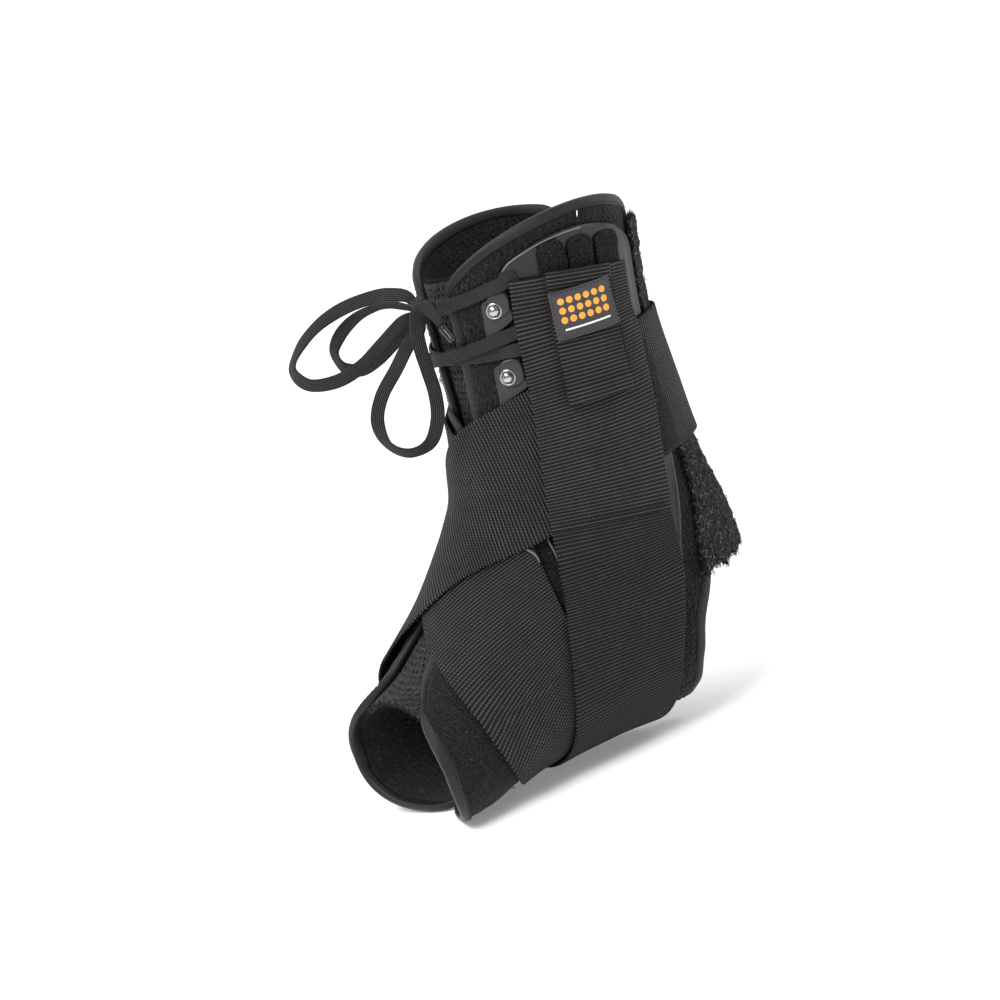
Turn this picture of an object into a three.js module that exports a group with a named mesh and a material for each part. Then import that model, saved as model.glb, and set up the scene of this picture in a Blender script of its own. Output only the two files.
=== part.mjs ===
// A laced ankle brace as it sits on a left foot, in millimetres.
// +Z is up, the toes point along -Y, and the outer side of the ankle is +X.
// The origin is on the foot bed, under the middle of the leg.
import * as THREE from 'three';

// Driving sizes of the boot
const braceHeight = 217;
const braceLength = 182;
const braceWidth = 86;
const legSetback = 52;

// Driving sizes of the sheets and tapes
const panelThickness = 3.2;
const tongueThickness = 3;
const elasticThickness = 2;
const bindingWidth = 4.5;
const webThickness = 1.5;
const crossStrapWidth = 57;
const liftStrapWidth = 54;
const loopPatchWidth = 46;
const loopPatchThickness = 1.2;
const plateThickness = 2;
const hookThickness = 1.3;
const tabThickness = 1.6;
const tabWidth = 12.4;
const laceWidth = 5.6;
const laceThickness = 1.2;
const pullTabWidth = 29;
const labelWidth = 20;
const labelThickness = 1;
const rivetRadius = 3.2;
const rivetHeight = 2;
const bowLaceDiameter = 3.6;
const knotRadius = 5;
const agletRadius = 1.6;

// Clearances between neighbours
const skinGap = 0.4;
const layerGap = 0.55;
const seamGap = 0.35;

// Longest step and largest turn between two stations of a strap, and the widest of its columns
const stationStep = 12.5;
const stationTurn = THREE.MathUtils.degToRad(18);
const columnWidth = 9.6;

// Rows and columns of a side panel, which its binding follows
const panelGrid = { rows: 20, columns: 10 };

// Heights over the form at which each layer starts
const panelTop = skinGap + panelThickness;
const firstLayer = panelTop + layerGap;
const underStrap = firstLayer + 0.35;
const upperStrap = underStrap + webThickness + layerGap;
const overPlate = firstLayer + plateThickness + layerGap;
const overLace = firstLayer + laceThickness + layerGap;
const overPatch = overPlate + webThickness + loopPatchThickness + 2 * layerGap;
const overHooks = overPlate + hookThickness + layerGap;
const overPlateAndWeb = overPlate + webThickness + layerGap;

// Sections of the form inside the brace, from the top edge to the foot opening. Each section is a closed curve
// between a front point and a back point. Forward places are shares of braceLength, heights are shares of
// braceHeight, half widths are shares of half of braceWidth, and the last column squares the back half.
const sections = [
  // front y, front z, back y, back z, half width, back exponent
  [0.538, 1.000, 0.040, 1.000, 0.930, 2.0],
  [0.544, 0.820, 0.078, 0.820, 0.872, 2.0],
  [0.560, 0.659, 0.072, 0.645, 0.826, 2.0],
  [0.602, 0.548, 0.056, 0.488, 0.814, 2.0],
  [0.646, 0.493, 0.018, 0.323, 0.849, 2.0],
  [0.690, 0.452, 0.022, 0.101, 0.860, 2.1],
  [0.734, 0.410, 0.220, 0.046, 0.837, 2.3],
  [0.777, 0.369, 0.473, 0.055, 0.849, 2.6],
  [0.830, 0.327, 0.692, 0.051, 0.884, 2.8],
  [0.901, 0.276, 0.868, 0.023, 0.953, 3.0],
  [0.989, 0.240, 1.000, 0.009, 1.000, 3.0],
];

// Row of a table at a place between its rows, on a smooth curve through them
function tableRow(rows, place) {
  const last = rows.length - 1;
  const index = Math.min(Math.max(Math.floor(place), 0), last - 1);
  const u = place - index;
  const mirror = (end, inner) => end.map((value, k) => 2 * value - inner[k]);
  const before = index > 0 ? rows[index - 1] : mirror(rows[0], rows[1]);
  const after = index + 2 <= last ? rows[index + 2] : mirror(rows[last], rows[last - 1]);
  return rows[index].map((b, k) => {
    const [a, c, d] = [before[k], rows[index + 1][k], after[k]];
    return 0.5 * (2 * b + (c - a) * u + (2 * a - 5 * b + 4 * c - d) * u * u + (3 * b - a - 3 * c + d) * u ** 3);
  });
}

// Row of a table at a share from 0 to 1 of its whole run
const tableShare = (rows, share) => tableRow(rows, share * (rows.length - 1));

const signedPower = (value, power) => Math.sign(value) * Math.abs(value) ** power;

// Point of the form at section place s and angle t in degrees: 0 is the front, 90 the outer side
function formPoint(s, t) {
  const [frontY, frontZ, backY, backZ, halfWidth, backExponent] = tableRow(sections, s);
  const angle = THREE.MathUtils.degToRad(t);
  const exponent = Math.cos(angle) >= 0 ? 2 : backExponent;
  const along = signedPower(Math.cos(angle), 2 / exponent);
  const forward = ((frontY + backY) / 2 + (along * (frontY - backY)) / 2) * braceLength;
  return new THREE.Vector3(
    (signedPower(Math.sin(angle), 2 / exponent) * halfWidth * braceWidth) / 2,
    legSetback - forward,
    ((frontZ + backZ) / 2 + (along * (frontZ - backZ)) / 2) * braceHeight,
  );
}

// Changes of the form's point with s and with t
function formSlopes(s, t) {
  const [ds, dt] = [0.001, 0.05];
  const alongS = formPoint(s + ds, t).sub(formPoint(s - ds, t)).divideScalar(2 * ds);
  const alongT = formPoint(s, t + dt).sub(formPoint(s, t - dt)).divideScalar(2 * dt);
  return [alongS, alongT];
}

function formNormal(s, t) {
  const [alongS, alongT] = formSlopes(s, t);
  return alongS.cross(alongT).normalize();
}

// Point at a height over the form
const over = (s, t, height) => formPoint(s, t).addScaledVector(formNormal(s, t), height);

// Moves a place on the form by a step in space, and returns the new place
function stepPlace([s, t], step) {
  const [a, b] = formSlopes(s, t);
  const [aa, ab, bb] = [a.dot(a), a.dot(b), b.dot(b)];
  const [as, bs] = [a.dot(step), b.dot(step)];
  const scale = aa * bb - ab * ab;
  return [s + (as * bb - bs * ab) / scale, t + (bs * aa - as * ab) / scale];
}

// Walks over the form from a place, straight on in a direction, for a distance at a height
function walk(place, direction, distance, height) {
  const steps = Math.max(1, Math.ceil(distance / 3));
  let [here, heading] = [place, direction.clone()];
  for (let k = 0; k < steps; k += 1) {
    const normal = formNormal(...here);
    heading.addScaledVector(normal, -heading.dot(normal)).normalize();
    const target = over(...here, height).addScaledVector(heading, distance / steps);
    for (let pass = 0; pass < 3; pass += 1) {
      here = stepPlace(here, target.clone().sub(over(...here, height)));
    }
  }
  return here;
}

// One closed mesh from two grids of points, the lower and the upper face of a sheet
function closedSheet(lower, upper) {
  const [rows, columns] = [lower.length, lower[0].length];
  const points = [...lower.flat(), ...upper.flat()];
  const at = (face, i, j) => face * rows * columns + i * columns + j;
  const triangles = [];
  const quad = (a, b, c, d) => triangles.push(a, b, c, a, c, d);
  for (let i = 0; i + 1 < rows; i += 1) {
    for (let j = 0; j + 1 < columns; j += 1) {
      quad(at(0, i, j), at(0, i + 1, j), at(0, i + 1, j + 1), at(0, i, j + 1));
      quad(at(1, i, j), at(1, i, j + 1), at(1, i + 1, j + 1), at(1, i + 1, j));
    }
    quad(at(0, i, 0), at(1, i, 0), at(1, i + 1, 0), at(0, i + 1, 0));
    quad(at(0, i, columns - 1), at(0, i + 1, columns - 1), at(1, i + 1, columns - 1), at(1, i, columns - 1));
  }
  for (let j = 0; j + 1 < columns; j += 1) {
    quad(at(0, 0, j), at(0, 0, j + 1), at(1, 0, j + 1), at(1, 0, j));
    quad(at(0, rows - 1, j), at(1, rows - 1, j), at(1, rows - 1, j + 1), at(0, rows - 1, j + 1));
  }
  return facesOut(points, triangles);
}

// A geometry whose faces point out, whichever way round its grid ran
function facesOut(points, triangles) {
  let volume = 0;
  for (let k = 0; k < triangles.length; k += 3) {
    const [a, b, c] = [points[triangles[k]], points[triangles[k + 1]], points[triangles[k + 2]]];
    volume += a.dot(new THREE.Vector3().crossVectors(b, c));
  }
  if (volume < 0) {
    for (let k = 0; k < triangles.length; k += 3) {
      [triangles[k + 1], triangles[k + 2]] = [triangles[k + 2], triangles[k + 1]];
    }
  }
  const geometry = new THREE.BufferGeometry();
  const positions = points.flatMap((point) => point.toArray());
  geometry.setAttribute('position', new THREE.Float32BufferAttribute(positions, 3));
  geometry.setIndex(triangles);
  geometry.computeVertexNormals();
  return geometry;
}

// A sheet over the form: place(u, v) gives [s, t, height] for shares u and v from 0 to 1
function formSheet(rows, columns, thickness, place) {
  const face = (extra) =>
    Array.from({ length: rows + 1 }, (_, i) =>
      Array.from({ length: columns + 1 }, (__, j) => {
        const [s, t, height] = place(i / rows, j / columns);
        return over(s, t, height + extra);
      }),
    );
  return closedSheet(face(0), face(thickness));
}

// Value of a profile of [place, value] rows, easing from each row to the next
function profile(rows, place) {
  const next = rows.findIndex(([start]) => start > place);
  if (next === 0) return rows[0][1];
  if (next < 0) return rows[rows.length - 1][1];
  const [[start, low], [end, high]] = [rows[next - 1], rows[next]];
  return low + (high - low) * THREE.MathUtils.smoothstep(place, start, end);
}

// Stations along a route of [s, t] rows at heights heightAt(s, t), closer together where the route turns
function routeStations(route, heightAt) {
  const fine = 40 * (route.length - 1);
  const pointAt = (share) => {
    const [s, t] = tableShare(route, Math.min(Math.max(share, 0), 1));
    return over(s, t, heightAt(s, t));
  };
  const points = Array.from({ length: fine + 1 }, (_, k) => pointAt(k / fine));
  const costs = [0];
  for (let k = 1; k <= fine; k += 1) {
    const ahead = points[Math.min(k + 1, fine)].clone().sub(points[k]);
    const behind = points[k].clone().sub(points[k - 1]);
    const turn = k < fine ? ahead.angleTo(behind) : 0;
    costs.push(costs[k - 1] + behind.length() / stationStep + turn / stationTurn);
  }
  const count = Math.ceil(costs[fine]);
  const nudge = 0.2 / fine;
  return Array.from({ length: count + 1 }, (_, n) => {
    const wanted = (n / count) * costs[fine];
    const index = Math.max(1, costs.findIndex((cost) => cost >= wanted - 1e-9));
    const part = (wanted - costs[index - 1]) / (costs[index] - costs[index - 1] || 1);
    const here = (index - 1 + part) / fine;
    const tangent = pointAt(here + nudge).sub(pointAt(here - nudge)).normalize();
    return { place: tableShare(route, here), tangent };
  });
}

// A strap of constant width along a route on the form
function strap(route, width, thickness, heightAt) {
  const columns = Math.ceil(width / columnWidth);
  const places = routeStations(route, heightAt).map(({ place, tangent }) => {
    const height = heightAt(...place);
    const side = new THREE.Vector3().crossVectors(formNormal(...place), tangent).normalize();
    const back = side.clone().negate();
    return Array.from({ length: columns + 1 }, (_, j) => {
      const across = (j / columns - 0.5) * width;
      return across === 0 ? place : walk(place, across > 0 ? side : back, Math.abs(across), height);
    });
  });
  const face = (extra) => places.map((row) => row.map(([s, t]) => over(s, t, heightAt(s, t) + extra)));
  return closedSheet(face(0), face(thickness));
}

// The same route on the other side of the leg
const mirrored = (route) => route.map(([s, t]) => [s, -t]);

// Side panel: its front edge, its middle and its rear edge at rows from the top edge to the foot opening.
// Each pair is a section place and an angle. The last rows run along the seam under the sole.
const panelRows = [
  // front s, front t, middle s, middle t, rear s, rear t
  [0.26, 15, -0.22, 80, 0.00, 143],
  [0.80, 15, 0.70, 80, 0.80, 142],
  [1.86, 11, 1.80, 80, 1.90, 140],
  [3.00, 9, 3.00, 80, 3.00, 136],
  [4.20, 8, 4.10, 78, 4.10, 124],
  [5.30, 8, 5.10, 76, 5.00, 112],
  [6.30, 8, 6.05, 84, 5.62, 124],
  [7.20, 10, 7.00, 94, 6.02, 146],
  [8.10, 17, 8.00, 98, 6.35, 168],
  [8.90, 22, 9.00, 98, 7.60, 179.8],
  [9.55, 36, 9.95, 84, 9.30, 179.8],
];
const soleSeamAngle = 179.8;

// Smooth bend of three values over a share from 0 to 1
const bend = (a, b, c, share) => a + (4 * b - 3 * a - c) * share + 2 * (a + c - 2 * b) * share * share;

function panelPlace(u, v) {
  const [frontS, frontT, middleS, middleT, rearS, rearT] = tableShare(panelRows, u);
  return [bend(frontS, middleS, rearS, v), bend(frontT, middleT, Math.min(rearT, soleSeamAngle), v)];
}

// Shares of the panel's rows and columns that a distance in from its edges takes up
function panelInset(u, v, distance) {
  const nudge = 0.01;
  const here = formPoint(...panelPlace(u, v));
  const inwardU = u < 0.5 ? nudge : -nudge;
  const inwardV = v < 0.5 ? nudge : -nudge;
  const lengthU = here.distanceTo(formPoint(...panelPlace(u + inwardU, v))) / nudge;
  const lengthV = here.distanceTo(formPoint(...panelPlace(u, v + inwardV))) / nudge;
  return [distance / lengthU, distance / lengthV];
}

// Place on the panel with its edges drawn in by a distance
function insetPlace(u, v, distance) {
  const top = panelInset(0, v, distance)[0];
  const bottom = panelInset(1, v, distance)[0];
  const front = panelInset(u, 0, distance)[1];
  const rear = panelInset(u, 1, distance)[1];
  return panelPlace(top + u * (1 - top - bottom), front + v * (1 - front - rear));
}

function sidePanel() {
  const inset = bindingWidth + seamGap;
  return formSheet(panelGrid.rows, panelGrid.columns, panelThickness, (u, v) => [...insetPlace(u, v, inset), skinGap]);
}

// Tape round all four edges of a panel, as a closed ring beside it
function edgeBinding() {
  const corners = [[0, 1], [0, 0], [1, 0], [1, 1]];
  const { rows, columns } = panelGrid;
  const steps = [columns, rows, columns, rows];
  const stations = corners.flatMap(([u, v], k) => {
    const [nextU, nextV] = corners[(k + 1) % corners.length];
    return Array.from({ length: steps[k] }, (_, n) => {
      const share = n / steps[k];
      return [u + (nextU - u) * share, v + (nextV - v) * share];
    });
  });
  const outer = stations.map(([u, v]) => panelPlace(u, v));
  const inner = stations.map(([u, v]) => insetPlace(u, v, bindingWidth));
  const [low, high] = [skinGap - 0.2, panelTop - 0.1];
  const points = [];
  const triangles = [];
  stations.forEach((_, n) => {
    points.push(over(...outer[n], low), over(...outer[n], high), over(...inner[n], high), over(...inner[n], low));
  });
  stations.forEach((_, n) => {
    const [here, next] = [4 * n, 4 * ((n + 1) % stations.length)];
    for (let k = 0; k < 4; k += 1) {
      const after = (k + 1) % 4;
      triangles.push(here + k, next + k, next + after, here + k, next + after, here + after);
    }
  });
  return facesOut(points, triangles);
}

// Tongue inside the front opening: section place and half angle
const tongueRows = [
  // s, half angle
  [0.20, 30],
  [1.50, 33],
  [3.50, 33],
  [6.00, 34],
  [8.30, 36],
  [9.65, 38],
];

function tongue() {
  return formSheet(11, 4, tongueThickness, (u, v) => {
    const [s, halfAngle] = tableShare(tongueRows, u);
    return [s, (2 * v - 1) * halfAngle, -skinGap - tongueThickness];
  });
}

// Elastic across the back: places of its side edges and of its middle. Over the panels it lies on them, and
// behind the leg it drops towards the form.
const elasticRows = [
  // side s, side t, middle s
  [0.14, 135, 0.30],
  [1.00, 134, 1.00],
  [2.00, 131, 2.00],
  [3.00, 126, 2.85],
  [3.60, 121, 3.35],
  [4.10, 115, 3.75],
  [4.58, 110, 4.05],
];
const elasticDrop = 3;

function elasticHeight(u, t) {
  const panelRear = bend(143, 136, 112, u) + 4;
  const share = Math.min(1, (180 - Math.abs(t)) / (180 - panelRear));
  return firstLayer - elasticDrop * (1 - share * share * (3 - 2 * share));
}

function achillesElastic() {
  return formSheet(10, 10, elasticThickness, (u, v) => {
    const [sideS, sideT, middleS] = tableShare(elasticRows, u);
    const across = Math.abs(2 * v - 1);
    const t = 180 + (2 * v - 1) * (180 - sideT);
    return [middleS + (sideS - middleS) * across ** 1.5, t, elasticHeight(u, 180 - Math.abs(180 - t))];
  });
}

// Side stay: section place and angle of its front edge, middle and rear edge
const plateRows = [
  // front s, front t, middle s, rear s, rear t
  [0.16, 57, 0.02, 0.16, 118],
  [0.28, 51, 0.16, 0.36, 129],
  [0.46, 56.5, 0.42, 0.64, 131],
  [1.10, 57, 1.10, 1.20, 130],
  [2.00, 58, 2.00, 2.10, 125],
  [3.00, 63, 3.00, 3.00, 119],
  [3.90, 70, 3.85, 3.80, 110],
  [4.70, 80, 4.80, 4.60, 101],
];

function stayPlate() {
  return formSheet(10, 6, plateThickness, (u, v) => {
    const [frontS, frontT, middleS, rearS, rearT] = tableShare(plateRows, u);
    return [bend(frontS, middleS, rearS, v), frontT + (rearT - frontT) * v, firstLayer];
  });
}

// Hook strips on the stay, up and down
const hookStrips = [
  // front t, rear t, top s, bottom s
  [71, 84.5, 0.08, 0.95],
  [86, 99.5, 0.12, 0.95],
  [101, 116, 0.17, 0.95],
];

const hookStrip = ([frontT, rearT, topS, bottomS]) =>
  formSheet(3, 2, hookThickness, (u, v) => {
    return [topS + (bottomS - topS) * u, frontT + (rearT - frontT) * v, overPlate];
  });

// The cross straps start behind the ankle, cross over the instep and end under the sole, where the side straps
// go on. Routes are section places and angles.
const crossRoute = [
  // s, t
  [1.92, 179.5],
  [1.92, 160],
  [1.93, 140],
  [2.00, 108],
  [2.19, 81],
  [2.44, 59],
  [2.65, 41],
  [2.95, 20],
  [3.45, 3],
  [4.40, -9],
  [5.60, -22],
  [6.50, -37],
  [7.10, -54],
  [7.50, -74],
  [7.72, -97],
  [7.68, -124],
  [7.40, -148],
  [7.20, -166],
  [7.20, -179.8],
];

// Heights of the cross straps by angle, from under the sole round the front to the back. The outer one lies over
// the inner one.
const behindLeg = [
  [150, overPlate],
  [180, firstLayer - elasticDrop + elasticThickness + layerGap],
];
const outerCrossHeights = [
  [-150, upperStrap],
  [-128, upperStrap + 0.5],
  [-90, upperStrap + 0.5],
  [-60, upperStrap],
  [-50, upperStrap + 0.4],
  [-42, upperStrap + 0.4],
  [-32, upperStrap],
  [42, upperStrap],
  [54, overPlate],
  ...behindLeg,
];
const innerCrossHeights = [
  [42, underStrap],
  [54, overPlate],
  ...behindLeg,
];

// The side straps come up from under the sole. The elastic length ends at the zigzag seam, where the webbing starts.
const liftElasticRoute = [
  // s, t
  [7.20, 179.8],
  [7.20, 166],
  [7.08, 148],
  [6.88, 126],
  [6.54, 107],
  [6.05, 94],
  [5.54, 85],
  [5.08, 80.5],
  [4.64, 78],
  [4.20, 77.5],
  [3.88, 78],
];
const liftStrapRoute = [
  [3.84, 78],
  [3.30, 79],
  [2.75, 80.5],
  [2.30, 81.5],
  [1.87, 82.5],
  [1.35, 84],
  [1.00, 84.7],
  [0.70, 85.5],
  [0.44, 86],
];
const loopPatchRoute = [
  [2.08, 121],
  [2.12, 105],
  [2.23, 83],
  [2.44, 62],
];
const pullTabRoute = [
  [1.84, 84],
  [1.32, 84.8],
  [0.80, 86.2],
  [0.42, 87.5],
];
const labelRoute = [
  [0.82, 71],
  [0.84, 86],
  [0.84, 101],
];

// Heights of a side strap by section place, from the top down to the sole
const liftTopHeights = [
  [0.95, overHooks],
  [1.30, overPatch],
  [3.36, overPatch],
  [3.76, overPlateAndWeb],
  [4.35, overPlateAndWeb],
];
const outerLiftHeights = [...liftTopHeights, [4.95, overPlate], [5.40, upperStrap]];
const innerLiftHeights = [...liftTopHeights, [4.80, overPlate], [5.25, underStrap]];
const overLift = webThickness + layerGap;

// Lace tabs, each a short folded strip with a rivet through it
const upperTabRoute = [
  // s, t
  [0.67, 37.5],
  [0.64, 46],
  [0.61, 53],
];
const lowerTabRoute = [
  [1.36, 36],
  [1.33, 44],
  [1.30, 52],
];
const overTab = firstLayer + tabThickness + layerGap;
const rivetPlaces = { upper: [0.60, 45, overTab], lower: [1.33, 43.5, overTab] };

// Flat laces over the front, and their heights by angle. Where two of them cross, one is a lace higher.
const topLaceRoute = [
  // s, t
  [0.31, 60],
  [0.34, 54],
  [0.37, 47],
  [0.40, 39],
  [0.44, 24],
  [0.46, 10],
  [0.46, 1],
];
const middleLaceRoute = [
  [0.86, 60],
  [0.87, 54],
  [0.90, 46],
  [0.93, 36],
  [0.97, 18],
  [1.00, 0],
  [1.02, -18],
  [1.05, -36],
  [1.06, -46],
  [1.06, -54],
  [1.06, -60],
];
const lowerLaceRoute = [
  [1.62, -13],
  [1.76, -4],
  [1.93, 10],
  [2.10, 7],
  [2.50, 1],
  [3.60, 0],
  [5.00, 0],
  [6.40, 0],
  [7.35, -4],
  [7.80, 1],
  [7.96, 12],
];
const underLaceHeights = [
  [38, firstLayer],
  [53, overPlate],
];
const overLaceHeights = [
  [36, overLace],
  [46, overLace + 0.3],
  [53, overPlate],
];

// The lower lace drops between the panels under the straps, here by section place, and the straps rise a
// little where they start to cover it
const lowerLaceHeights = [
  [2.17, firstLayer],
  [2.60, 0.3],
];
const laceBumpByPlace = [
  [2.40, laceThickness + 0.2],
  [3.10, 0],
];
const laceBumpByAngle = [
  [18, 1],
  [32, 0],
];

// The bow in front of the knot: centrelines of its laces, chosen by hand
const knotPlace = [0.42, 4, 9.25];
const bowLoopLarge = [
  [1.9, -57.0, 205.0], [0.7, -58.4, 207.8], [-5, -63, 210.5], [-12, -66, 211], [-22, -77, 210], [-29, -88, 206],
  [-34, -97, 199], [-33, -103, 192], [-27, -101, 185], [-19, -92, 183], [-12, -82, 186], [-6, -74, 191.5],
  [-0.2, -67.2, 196.8], [2.1, -63.4, 199.1], [2.8, -59.6, 199.8],
];
const bowLoopSmall = [
  [-1.2, -56.6, 202.0], [-4.4, -57.6, 203.0], [-11, -61, 205.5], [-18, -64.5, 206], [-25, -72, 204],
  [-30, -79, 199], [-32, -83, 193], [-30, -82, 186], [-25, -77, 183], [-20, -71, 185], [-14, -66, 189],
  [-8, -62, 193], [-3.0, -58.8, 195.8], [-0.1, -57.1, 197.9],
];
const bowLoopHanging = [
  [5.6, -58.1, 197.2], [7.1, -60.4, 194.3], [8.3, -68, 190], [10, -77, 183], [9, -87, 174], [9, -92, 165],
  [10, -91, 155], [12, -84, 149], [14, -75, 150], [15, -69, 158], [14, -66, 168], [12, -65, 178], [11, -64.5, 188],
  [11, -63, 197], [12.5, -61.5, 202], [15.8, -59.5, 202.5], [18, -57.5, 199], [18.3, -56.2, 194.5],
];
const agletLine = [
  [18.4, -55.9, 193.5], [20.4, -55.2, 190], [22.4, -54.5, 186.5],
];

// A round lace along hand-chosen points, with a step of a few diameters
function laceTube(points, radius) {
  const line = new THREE.CatmullRomCurve3(points.map((point) => new THREE.Vector3(...point)), false, 'centripetal');
  const sides = 8;
  const outline = new THREE.Shape(
    Array.from({ length: sides }, (_, k) => {
      const angle = (2 * Math.PI * k) / sides;
      return new THREE.Vector2(radius * Math.cos(angle), radius * Math.sin(angle));
    }),
  );
  const steps = Math.max(2, Math.round(line.getLength() / (2.8 * 2 * radius)));
  return new THREE.ExtrudeGeometry(outline, { steps, extrudePath: line, bevelEnabled: false });
}

// A dome on a short barrel, standing on its flat back
function rivet() {
  const profile = [[0, 0], [1, 0], [1, 0.35], [0.7, 0.85], [0, 1]];
  const points = profile.map(([r, z]) => new THREE.Vector2(r * rivetRadius, z * rivetHeight));
  return new THREE.LatheGeometry(points, 8).rotateX(Math.PI / 2);
}

const material = (color, roughness, metalness = 0) => new THREE.MeshStandardMaterial({ color, roughness, metalness });
const looks = {
  pile: () => material(0x1e1c21, 0.95),
  binding: () => material(0x262527, 0.7),
  mesh: () => material(0x232226, 0.85),
  elastic: () => material(0x1c1b1e, 0.95),
  webbing: () => material(0x2a292b, 0.75),
  hooks: () => material(0x18171a, 0.8),
  plastic: () => material(0x3b393c, 0.5),
  tab: () => material(0x4b4a4d, 0.55),
  lace: () => material(0x252427, 0.8),
  rivet: () => material(0xd8d8da, 0.2, 1),
  rubber: () => material(0x464448, 0.6),
};

const brace = new THREE.Group();

function add(name, geometry, look) {
  const mesh = new THREE.Mesh(geometry, looks[look]());
  mesh.name = name;
  brace.add(mesh);
  return mesh;
}

// Sets a piece that stands on its own +Z face at a place on the form
function stand(mesh, [s, t, height]) {
  mesh.position.copy(over(s, t, height));
  mesh.quaternion.setFromUnitVectors(new THREE.Vector3(0, 0, 1), formNormal(s, t));
}

// A mesh on the inner side is the outer one's mirror image
function mirrorGeometry(geometry) {
  const copy = geometry.clone();
  copy.scale(-1, 1, 1);
  const index = copy.getIndex();
  for (let k = 0; k < index.count; k += 3) {
    const [b, c] = [index.getX(k + 1), index.getX(k + 2)];
    index.setX(k + 1, c);
    index.setX(k + 2, b);
  }
  copy.computeVertexNormals();
  return copy;
}

function addBothSides(name, geometry, look) {
  add(`outer_${name}`, geometry, look);
  add(`inner_${name}`, mirrorGeometry(geometry), look);
}

// The boot
addBothSides('panel', sidePanel(), 'pile');
addBothSides('edge_binding', edgeBinding(), 'binding');
add('tongue', tongue(), 'mesh');
add('achilles_elastic', achillesElastic(), 'elastic');

// The side stays with their hook strips
addBothSides('stay_plate', stayPlate(), 'plastic');
hookStrips.forEach((row, k) => addBothSides(`hook_strip_${k + 1}`, hookStrip(row), 'hooks'));

// The straps
const laceBump = (s, t) => profile(laceBumpByPlace, s) * profile(laceBumpByAngle, Math.abs(t));
const outerCrossHeight = (s, t) => profile(outerCrossHeights, t) + laceBump(s, t);
const innerCrossHeight = (s, t) => profile(innerCrossHeights, -t) + laceBump(s, t);
const outerLiftHeight = (s) => profile(outerLiftHeights, s);
const innerLiftHeight = (s) => profile(innerLiftHeights, s);
const tabHeight = (s) => outerLiftHeight(s) + overLift;
const labelHeight = (s) => tabHeight(s) + overLift;
add('outer_cross_strap', strap(crossRoute, crossStrapWidth, webThickness, outerCrossHeight), 'webbing');
add('inner_cross_strap', strap(mirrored(crossRoute), crossStrapWidth, webThickness, innerCrossHeight), 'webbing');
add('outer_lift_elastic', strap(liftElasticRoute, liftStrapWidth, webThickness, outerLiftHeight), 'webbing');
add('inner_lift_elastic', strap(mirrored(liftElasticRoute), liftStrapWidth, webThickness, innerLiftHeight), 'webbing');
addBothSides('lift_strap', strap(liftStrapRoute, liftStrapWidth, webThickness, outerLiftHeight), 'webbing');
addBothSides('loop_patch', strap(loopPatchRoute, loopPatchWidth, loopPatchThickness, () => overPlateAndWeb), 'pile');
addBothSides('pull_tab', strap(pullTabRoute, pullTabWidth, webThickness, tabHeight), 'webbing');
add('label', strap(labelRoute, labelWidth, labelThickness, labelHeight), 'rubber');

// The lace tabs and their rivets
addBothSides('lace_tab_upper', strap(upperTabRoute, tabWidth, tabThickness, () => firstLayer), 'tab');
addBothSides('lace_tab_lower', strap(lowerTabRoute, tabWidth, tabThickness, () => firstLayer), 'tab');
Object.entries(rivetPlaces).forEach(([name, place]) => {
  stand(add(`outer_rivet_${name}`, rivet(), 'rivet'), place);
  stand(add(`inner_rivet_${name}`, rivet(), 'rivet'), [place[0], -place[1], place[2]]);
});

// The laces over the front and the bow
const underLaceHeight = (s, t) => profile(underLaceHeights, Math.abs(t));
const overLaceHeight = (s, t) => profile(overLaceHeights, Math.abs(t));
const lowerLaceHeight = (s) => profile(lowerLaceHeights, s);
addBothSides('top_lace', strap(topLaceRoute, laceWidth, laceThickness, underLaceHeight), 'lace');
add('middle_lace_under', strap(mirrored(middleLaceRoute), laceWidth, laceThickness, underLaceHeight), 'lace');
add('middle_lace_over', strap(middleLaceRoute, laceWidth, laceThickness, overLaceHeight), 'lace');
add('lower_lace', strap(lowerLaceRoute, laceWidth, laceThickness, lowerLaceHeight), 'lace');
const knot = add('lace_knot', new THREE.IcosahedronGeometry(knotRadius, 1), 'lace');
knot.scale.set(1, 0.75, 0.95);
knot.position.copy(over(...knotPlace));
add('bow_loop_large', laceTube(bowLoopLarge, bowLaceDiameter / 2), 'lace');
add('bow_loop_small', laceTube(bowLoopSmall, bowLaceDiameter / 2), 'lace');
add('bow_loop_hanging', laceTube(bowLoopHanging, bowLaceDiameter / 2), 'lace');
add('aglet', laceTube(agletLine, agletRadius), 'plastic');

export default brace;
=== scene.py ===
"""Laced ankle brace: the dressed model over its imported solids.

Lengths are in millimetres until a mesh is made. Places on the form inside the brace are s, which counts its
sections from the rim to the toe, and t, degrees from the front round to the outer side. u and v are shares.
"""
import math

import bpy
import numpy as np
from mathutils import Matrix


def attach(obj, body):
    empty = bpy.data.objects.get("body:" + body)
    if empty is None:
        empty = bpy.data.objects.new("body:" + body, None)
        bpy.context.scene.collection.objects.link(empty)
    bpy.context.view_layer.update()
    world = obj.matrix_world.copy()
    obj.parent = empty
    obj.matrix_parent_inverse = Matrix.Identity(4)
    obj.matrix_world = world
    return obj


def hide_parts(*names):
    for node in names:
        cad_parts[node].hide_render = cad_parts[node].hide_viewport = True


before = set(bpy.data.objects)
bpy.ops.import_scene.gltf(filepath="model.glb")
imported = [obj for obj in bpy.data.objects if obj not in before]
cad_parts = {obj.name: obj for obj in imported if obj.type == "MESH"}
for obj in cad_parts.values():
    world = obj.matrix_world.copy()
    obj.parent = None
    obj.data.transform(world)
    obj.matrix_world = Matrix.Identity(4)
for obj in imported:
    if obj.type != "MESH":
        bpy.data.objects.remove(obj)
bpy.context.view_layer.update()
rng = np.random.default_rng(7)

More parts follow.
